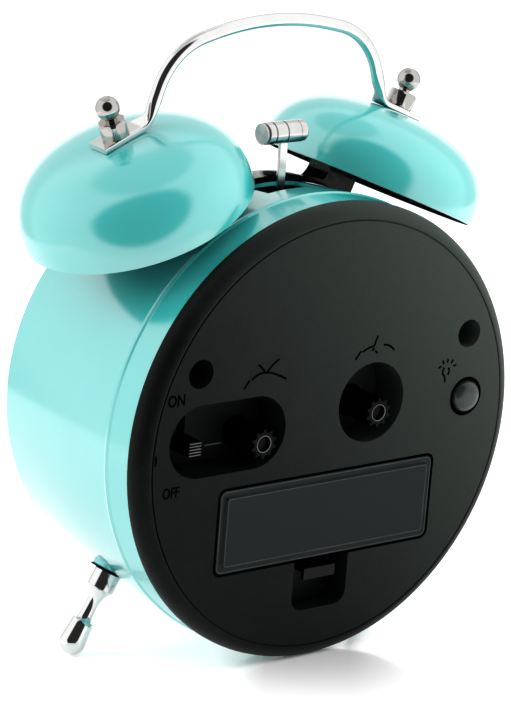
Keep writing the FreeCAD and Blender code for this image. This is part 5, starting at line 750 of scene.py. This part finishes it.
class CLOCK_OT_battery(ClockOperator):
    """Battery door with paler border lines as painted highlights, a black strip round it as painted shadow of its
    gap, cell and contacts.
    """

    bl_idname = "clock.battery"
    bl_label = "Battery door and cell"

    def make(self):
        dressed("battery_door", "door", angle=28, bevel=0.14)

        def outline(inset, radius):
            """A closed rectangle with round corners, inset from the door's edge."""
            wide, low, high = DOOR_HALF_WIDTH - inset, DOOR_BOTTOM + inset, DOOR_TOP - inset
            corners = ((wide, low), (wide, high), (-wide, high), (-wide, low))
            return ring([(*corner, radius) for corner in corners], 8)

        # A black strip lying on the face round the door: painted shadow of the gap round the door
        border("door_groove", outline(-0.62, 2.0), outline(-0.12, 1.6), -0.05, 0.03, "engraving")
        # Thin strips paler than the door along its border: painted highlights where the edges catch light
        for name, outside, inside, low, high in (("outer", (0.15, 1.35), (0.40, 1.1), -0.02, 0.07),
                                                 ("inner", (1.62, 0.6), (1.85, 0.5), 0.5, 0.64)):
            border("door_edge_" + name, outline(*outside), outline(*inside), low, high, "edge",
                   body=BODY_OF["battery_door"])
        dressed("battery_cell", "jacket", bevel=0.3)
        for name in ("contact_positive", "contact_negative"):
            dressed(name, "steel")


class CLOCK_OT_handle(ClockOperator):
    """Chromed rod. Its section is a superellipse, |y / half width| ^ n + |t / half thickness| ^ n = 1, that goes
    from a flat tab with n = 9 to a round rod with n = 2 while it passes through the bend."""

    bl_idname = "clock.handle"
    bl_label = "Handle"

    def make(self):
        thick, wide, rod = sizes().handle_thickness / 2, sizes().handle_width / 2, sizes().handle_rod
        axis = np.array([math.sin(BELL_TILT), math.cos(BELL_TILT)])
        across = axis[::-1] * [1, -1]
        seat = axis * (sizes().bell_height + thick) + BELL_CENTRE[::2]
        end, bend = seat + across * 5.0, seat - across * 6.66
        leg = math.radians(18.4)
        shoulder = np.array([bend[0] - (78.2 - bend[1]) * math.tan(leg), 78.2])
        crown = shoulder[1] + shoulder[0] * math.tan(math.radians(14.1))
        right = [(*end, 0), (*bend, 4.1), (*shoulder, 15.4)]
        left = [(-x, z, r) for x, z, r in right[::-1]]
        path = spread(rounded(right + [(0, crown, 66.4)] + left, 40), 420)
        reach = travelled(path)
        reach = np.minimum(reach, reach[::-1])[:, None]
        narrow = smooth((reach - 9.0) / 5.5)
        thicken = smooth((reach - 10.5) / 6.5)
        power = 9.0 * (2 / 9.0) ** narrow
        middle = BELL_CENTRE[1] + (HANDLE_MIDDLE - BELL_CENTRE[1]) * narrow
        angle = np.linspace(0, FULL_TURN, 64, endpoint=False)
        along, out = (half * np.sign(wave) * np.abs(wave) ** (2 / power)
                      for half, wave in ((wide + (rod - wide) * narrow, np.cos(angle)),
                                         (thick + (rod - thick) * thicken, np.sin(angle))))
        step = np.gradient(path, axis=0)
        step /= np.hypot(step[:, 0], step[:, 1])[:, None]
        points = np.stack([path[:, :1] - step[:, 1:] * out, middle + along, path[:, 1:] + step[:, :1] * out], -1)
        caps = [np.broadcast_to(points[row].mean(0), points[row].shape)[None] for row in (0, -1)]
        mesh = grid_mesh("handle_rod", leaned(np.concatenate([caps[0], points, caps[1]]), LEAN), around=True)
        piece("handle_rod", mesh, "chrome", stands_for=("handle",), angle=50)


class CLOCK_OT_nuts(ClockOperator):
    """Hexagon nuts with a neck and a ball on the handle's tabs, and the studs below. A hexagon row's radius is the
    smaller of its reach and flat / cos(fold), where fold is the angle from the middle of the nearest flat."""

    bl_idname = "clock.nuts"
    bl_label = "Nuts and balls"

    def make(self):
        across_corners, nut_height, ball, top = 3.35, 3.5, 2.6, 1.1
        angle = np.linspace(0, FULL_TURN, 96, endpoint=False)
        fold = angle % (math.pi / 3) - math.pi / 6
        hexagon = across_corners * math.cos(math.pi / 6) / np.cos(fold)
        polar = np.linspace(math.radians(150), math.asin(top / ball), 30)
        centre = nut_height + 0.8 + 2.08
        tip = centre + 2.3
        round_rows = np.concatenate([
            [(2.0, nut_height), (1.3, nut_height), (1.3, nut_height + 0.65)],
            np.stack([ball * np.sin(polar), centre + ball * np.cos(polar)], 1),
            [(top * 0.85, centre + ball * math.cos(polar[-1]) + 0.02), (top * 0.6, tip), (0, tip)]])
        six_rows = np.array([(0, 0), (2.95, 0), (3.28, 0.35), (3.28, nut_height - 0.5), (2.75, nut_height)])
        radii = np.concatenate([np.minimum(hexagon[None, :], six_rows[:, :1]), round_rows[:, :1] + 0 * angle])
        heights = np.concatenate([six_rows[:, 1:], round_rows[:, 1:]]) + 0 * angle
        points = np.stack([radii * np.cos(angle), radii * np.sin(angle), heights], -1)
        seat = Matrix.Translation((0, 0, sizes().bell_height + sizes().handle_thickness))
        meshes = [grid_mesh("nut", leaned(points, sided(BELL_CENTRE, BELL_TILT, side) @ seat), around=True)
                  for side in (-1, 1)]
        piece("ball_nuts", joined("ball_nuts", meshes), "nut_plating", stands_for=("handle_nuts",), angle=32)
        dressed("bell_studs", "steel")


class CLOCK_OT_hammer(ClockOperator):
    """Turned hammer head with grooves and a ringed end, flat arm, pivot, bracket, motor and the motor's disc."""

    bl_idname = "clock.hammer"
    bl_label = "Hammer"

    def make(self):
        length, radius, neck = 11.15, 2.4, 0.95
        half = length / 2
        corners = [(0.0, -half), (radius, -half, 0.5)]
        for place_along, width, depth in ((1.9, 0.15, 0.12), (5.3, 0.4, 0.45), (8.35, 0.4, 0.45)):
            low = place_along - half
            corners += [(radius, low), (radius - depth, low + 0.02), (radius - depth, low + width - 0.02),
                        (radius, low + width)]
        corners += [(radius, half - neck, 0.1), (radius - 0.8, half - neck), (radius - 0.8, half - 0.4),
                    (0.0, half - 0.4)]
        place = LEAN @ Matrix.Translation(HAMMER_HEAD) @ Matrix.Rotation(math.pi / 2, 4, "Y")
        turned_piece("hammer_head_turned", rounded(corners, 4), place, "nickel", closed=False,
                     stands_for=("hammer_head",), segments=MIDDLING)
        reach = np.linspace(0, radius - 0.3, 64)
        rings = np.stack([reach, half - 0.05 + 0.05 * np.cos(FULL_TURN * reach / 0.42)], 1)
        disc = [(0, half - 0.45), (radius - 0.15, half - 0.45), (radius - 0.15, half - 0.1), *rings[::-1]]
        turned_piece("hammer_end_face", disc, place, "turned_steel", closed=False, body=BODY_OF["hammer_head"],
                     slot="hammer_nickel", segments=MIDDLING)
        for name, material in (("hammer_arm", "arm_steel"), ("hammer_pivot", "steel"), ("hammer_bracket", "steel"),
                               ("hammer_motor", "steel"), ("motor_cam", "acetal")):
            dressed(name, material, bevel=0.08)


class CLOCK_OT_feet(ClockOperator):
    """Turned feet with collar, hollow waist and bulb, with washers and the nuts inside."""

    bl_idname = "clock.feet"
    bl_label = "Feet"

    def make(self):
        collar, waist, bulb, length = 3.05, 1.4, 2.9, 20.0
        head = rounded([(0, -6.0), (1.5, -6.0, 0.2), (1.5, 0.4), (collar, 0.4, 0.25), (collar, 4.4, 0.2)], 5)
        quarter = np.linspace(0, 1, 16)[1:]
        bend = quarter * math.pi / 2
        fall = 4.1 * (0.55 * (1 - np.cos(bend)) + 0.45 * quarter)
        narrowing = np.stack([collar - (collar - waist) * np.sin(bend), 4.4 + fall], 1)
        widening = np.stack([waist + 0.6 * (1 - np.cos(bend)), 8.5 + 3.5 * np.sin(bend)], 1)
        side = np.stack([np.linspace(2.45, bulb, 6), np.linspace(12.15, length - bulb, 6)], 1)
        end = np.stack([bulb * np.cos(bend), length - bulb + bulb * np.sin(bend)], 1)
        section = np.concatenate([head, narrowing, widening, [[2.3, 12.0]], side, end[:-1], [[0, length]]])
        washer = ring([(4.25, 0.0, 0.1), (4.25, 0.4, 0.1), (1.6, 0.4), (1.6, 0.0)])
        washers = []
        for name, way in (("left", -1), ("right", 1)):
            place = sided(FOOT_SEAT, FOOT_TILT, way, down=True)
            turned_piece("foot_" + name + "_turned", section, place, "chrome", closed=False,
                         stands_for=("foot_" + name,), segments=MIDDLING, angle=40)
            washers.append(turned_mesh("washer", washer, place, segments=COARSE))
        piece("washers", joined("washers", washers), "knob", stands_for=("foot_washers",), slot="")
        dressed("foot_nuts", "steel", bevel=0.1)


class CLOCK_OT_bridge(ClockOperator):
    """Black saddle with its posts."""

    bl_idname = "clock.bridge"
    bl_label = "Bell posts"

    def make(self):
        dressed("bell_bridge", "saddle", angle=28, bevel=0.4, segments=3)


class CLOCK_OT_controls(ClockOperator):
    """Fluted setting knobs, alarm switch, light button and the boards behind them."""

    bl_idname = "clock.controls"
    bl_label = "Knobs and switches"

    def make(self):
        for name, (x, z) in KNOBS.items():
            dressed(name, "knob", bevel=0.1)
            dish = FROM_BACK @ Matrix.Translation((-x, z, 0.5))
            # A pale ring on each knob's dish rim: painted highlight where the rim catches light
            section = ring([(1.7, -0.1), (1.7, 0.04, 0.02), (1.86, 0.04, 0.02), (1.86, -0.1)])
            turned_piece(name + "_dish_rim", section, dish, "rim", body=BODY_OF[name], segments=48)
        dressed("alarm_switch", "knob", bevel=0.08)
        # Pale lines on the slider's ridges and along the slot's edge: painted highlights
        level = SLIDER[1] + np.linspace(-1.3, 1.3, 5)
        ends = np.broadcast_to(-SLIDER[0] + np.array([-1.5, 1.5]), (5, 2))
        bars("slider_ridges", np.stack([ends, np.repeat(level[:, None], 2, 1)], -1), 0.14, -SLIDER_DEPTH,
             0.05 - SLIDER_DEPTH, FROM_BACK, "rim", body=BODY_OF["alarm_switch"])
        bars("slot_edge", np.array([[(-26.5, -1.3), (-22.2, -1.3)]]), 0.22, -RECESS_DEPTH, 0.1 - RECESS_DEPTH,
             FROM_BACK, "rim")
        dressed("light_button", "button", angle=40)
        button = FROM_BACK @ Matrix.Translation((-LIGHT_BUTTON[0], LIGHT_BUTTON[1], 0))
        radius, rise = 3.46, 1.75
        bend = np.linspace(0, math.pi / 2, 24)
        dome = np.stack([radius * np.cos(bend) ** 0.8, rise * np.sin(bend)], 1)
        dome[-1, 0] = 0
        turned_piece("light_dome", [(0, -0.2), (radius, -0.2), *dome], button, "button", closed=False,
                     body=BODY_OF["light_button"], segments=MIDDLING, angle=50)
        # A flat black ring lying on the face round the light button
        turned_piece("light_seat", ring([(4.35, -0.05), (4.35, 0.04), (3.72, 0.04), (3.72, -0.05)]), button,
                     "engraving", segments=MIDDLING)
        for name, material, bevel in (("light_switch", "housing", 0.1), ("light_board", "board", 0),
                                      ("circuit_board", "board", 0), ("quartz_crystal", "steel", 0.15),
                                      ("dial_lamp", "lamp", 0.2)):
            dressed(name, material, bevel=bevel)


class CLOCK_OT_movement(ClockOperator):
    """Housing, plates, stepping motor, wheels and pinions."""

    bl_idname = "clock.movement"
    bl_label = "Movement"

    def make(self):
        for material, names in (
                ("housing", "movement_housing movement_plate train_bridge"), ("ring_white", "dial_carrier"),
                ("steel", "movement_screws motor_stator"), ("copper", "motor_coil"), ("magnet", "motor_rotor"),
                ("brass", "minute_arbor"), ("acetal", "intermediate_wheel second_wheel third_wheel centre_wheel "
                 "minute_work_wheel hour_wheel alarm_wheel time_setting_gear alarm_setting_pinion")):
            for name in names.split():
                dressed(name, material)


def surroundings(level, mirrored, away):
    """White all round. What glossy pieces mirror has a dark opening on the viewer's side, a dimmer patch overhead
    and a grey belt round the far side, which draws the outlines of bright metal."""
    world = bpy.data.worlds.new("surroundings")
    tree = Tree(world)
    aim = tree.node("ShaderNodeTexCoord", output="Generated")
    glossy, seen = (tree.node("ShaderNodeLightPath", output=name) for name in ("Is Glossy Ray", "Is Camera Ray"))

    def towards(direction, wide, narrow):
        return tree.along(aim, Vector(direction).normalized()).between(wide, narrow, "SMOOTHSTEP")

    opening = towards((-away.x, -away.y, 0.40), 0.63, 0.77)
    overhead = towards((0.05, -0.15, 1.0), 0.88, 0.94)
    belt = towards(away, 0.40, 0.58) * (1 - towards(away, 0.80, 0.88))
    mirrored = mirrored * (1 - 0.97 * opening) * (1 - 0.45 * overhead) * (1 - 0.35 * belt)
    light = level + glossy * (mirrored - level)
    light = light + seen * (1.1 - light)
    tree.join(light, tree.nodes["Background"].inputs["Color"])
    return world


class CLOCK_OT_studio(ClockOperator):
    """Pale floor, soft lights, bright surroundings and the camera."""

    bl_idname = "clock.studio"
    bl_label = "Studio"

    def make(self):
        scene = bpy.context.scene
        studio = scene.clock_studio
        across = Vector((-0.78936, 0.60912, 0.07667))
        upward = Vector((-0.11820, -0.27334, 0.95463))
        behind = Vector((0.60244, 0.74449, 0.28776))
        turn = LEAN.to_3x3().normalized() @ Matrix((across, upward, behind)).transposed()
        spot = LEAN @ (behind * 766.995 + across * -14.0012 + upward * 16.6793)
        away, side = np.array([-0.62, -0.78]), np.array([-0.78, 0.62])
        corner = [[away * far + side * wide for wide in (-0.32, 0.32)] for far in (-0.17, 1.6)]
        mesh = grid_mesh("floor", np.pad(np.array(corner), ((0, 0), (0, 0), (0, 1))))
        floor = bpy.data.objects.new("floor", mesh)
        made = Finish("floor_white")
        nearer, aside = (made.along(made.place(), (*way, 0)) for way in (-away, side))
        # The floor glows, painted light that whitens it, and glows only a tenth as much in the patch near the clock
        # that takes a clear coat, so the clock's shadow and reflection show only there
        mirror_patch = (1 - nearer.between(0.016, 0.070)) * aside.between(-0.006, 0.004)
        mirror_patch = mirror_patch * (1 - aside.between(0.022, 0.042))
        mesh.materials.append(made.set(
            Base_Color=(0.76, 0.76, 0.76, 1), Roughness=0.16 + 0.04 * made.noise(3), Specular_IOR_Level=0.2,
            Emission_Color=1 - 0.9 * mirror_patch, Emission_Strength=0.34, Coat_Weight=mirror_patch, Coat_Roughness=0.09,
            Coat_IOR=1.75))
        scene.collection.objects.link(floor)
        scene.world = surroundings(studio.world_level, studio.mirrored_level, -(turn @ Vector((0, 0, 1))))
        scene.view_settings.view_transform = "Standard"
        scene.view_settings.look = "Medium High Contrast"
        for name, place, width, power in (("right_softbox", (-0.50, 0.36, 0.40), 0.40, studio.key_power),
                                          ("left_softbox", (0.62, -0.42, 0.42), 0.50, studio.fill_power)):
            lamp = bpy.data.lights.new(name, "AREA")
            lamp.size = width
            lamp.energy = power
            holder = bpy.data.objects.new(name, lamp)
            holder.location = place
            holder.rotation_euler = (Vector((0, 0, 0.06)) - Vector(place)).to_track_quat("-Z", "Y").to_euler()
            holder.visible_glossy = False
            scene.collection.objects.link(holder)
        data = bpy.data.cameras.new("camera")
        data.lens = studio.lens
        data.clip_start, data.clip_end = 0.05, 50
        camera = bpy.data.objects.new("camera", data)
        camera.matrix_world = Matrix.Translation(spot) @ turn.to_4x4()
        scene.collection.objects.link(camera)
        scene.camera = camera


# The operators, in the order in which they are written above
PIECES = tuple(ClockOperator.__subclasses__())
GROUPS = (ClockSizes, ClockColours, ClockStudio)


class CLOCK_PT_panel(bpy.types.Panel):
    """Lists the clock's sizes, colours and operators."""

    bl_idname = "CLOCK_PT_panel"
    bl_label = "Bell alarm clock"
    bl_space_type = "VIEW_3D"
    bl_region_type = "UI"
    bl_category = "Clock"

    def draw(self, context):
        scene = context.scene
        for group in (scene.clock_sizes, scene.clock_colours, scene.clock_studio):
            box = self.layout.box()
            for name in group.bl_rna.properties.keys():
                if name not in ("rna_type", "name"):
                    box.prop(group, name)
        for operator in PIECES:
            self.layout.operator(operator.bl_idname)


def register():
    for cls in GROUPS + PIECES + (CLOCK_PT_panel,):
        bpy.utils.register_class(cls)
    bpy.types.Scene.clock_sizes = PointerProperty(type=ClockSizes)
    bpy.types.Scene.clock_colours = PointerProperty(type=ClockColours)
    bpy.types.Scene.clock_studio = PointerProperty(type=ClockStudio)


def unregister():
    del bpy.types.Scene.clock_sizes, bpy.types.Scene.clock_colours, bpy.types.Scene.clock_studio
    for cls in reversed(GROUPS + PIECES + (CLOCK_PT_panel,)):
        bpy.utils.unregister_class(cls)


def main():
    """Register and make every piece."""
    register()
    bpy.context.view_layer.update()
    for operator in PIECES:
        getattr(bpy.ops.clock, operator.bl_idname.split(".")[1])()
    bpy.context.view_layer.update()


if __name__ == "__main__":
    main()
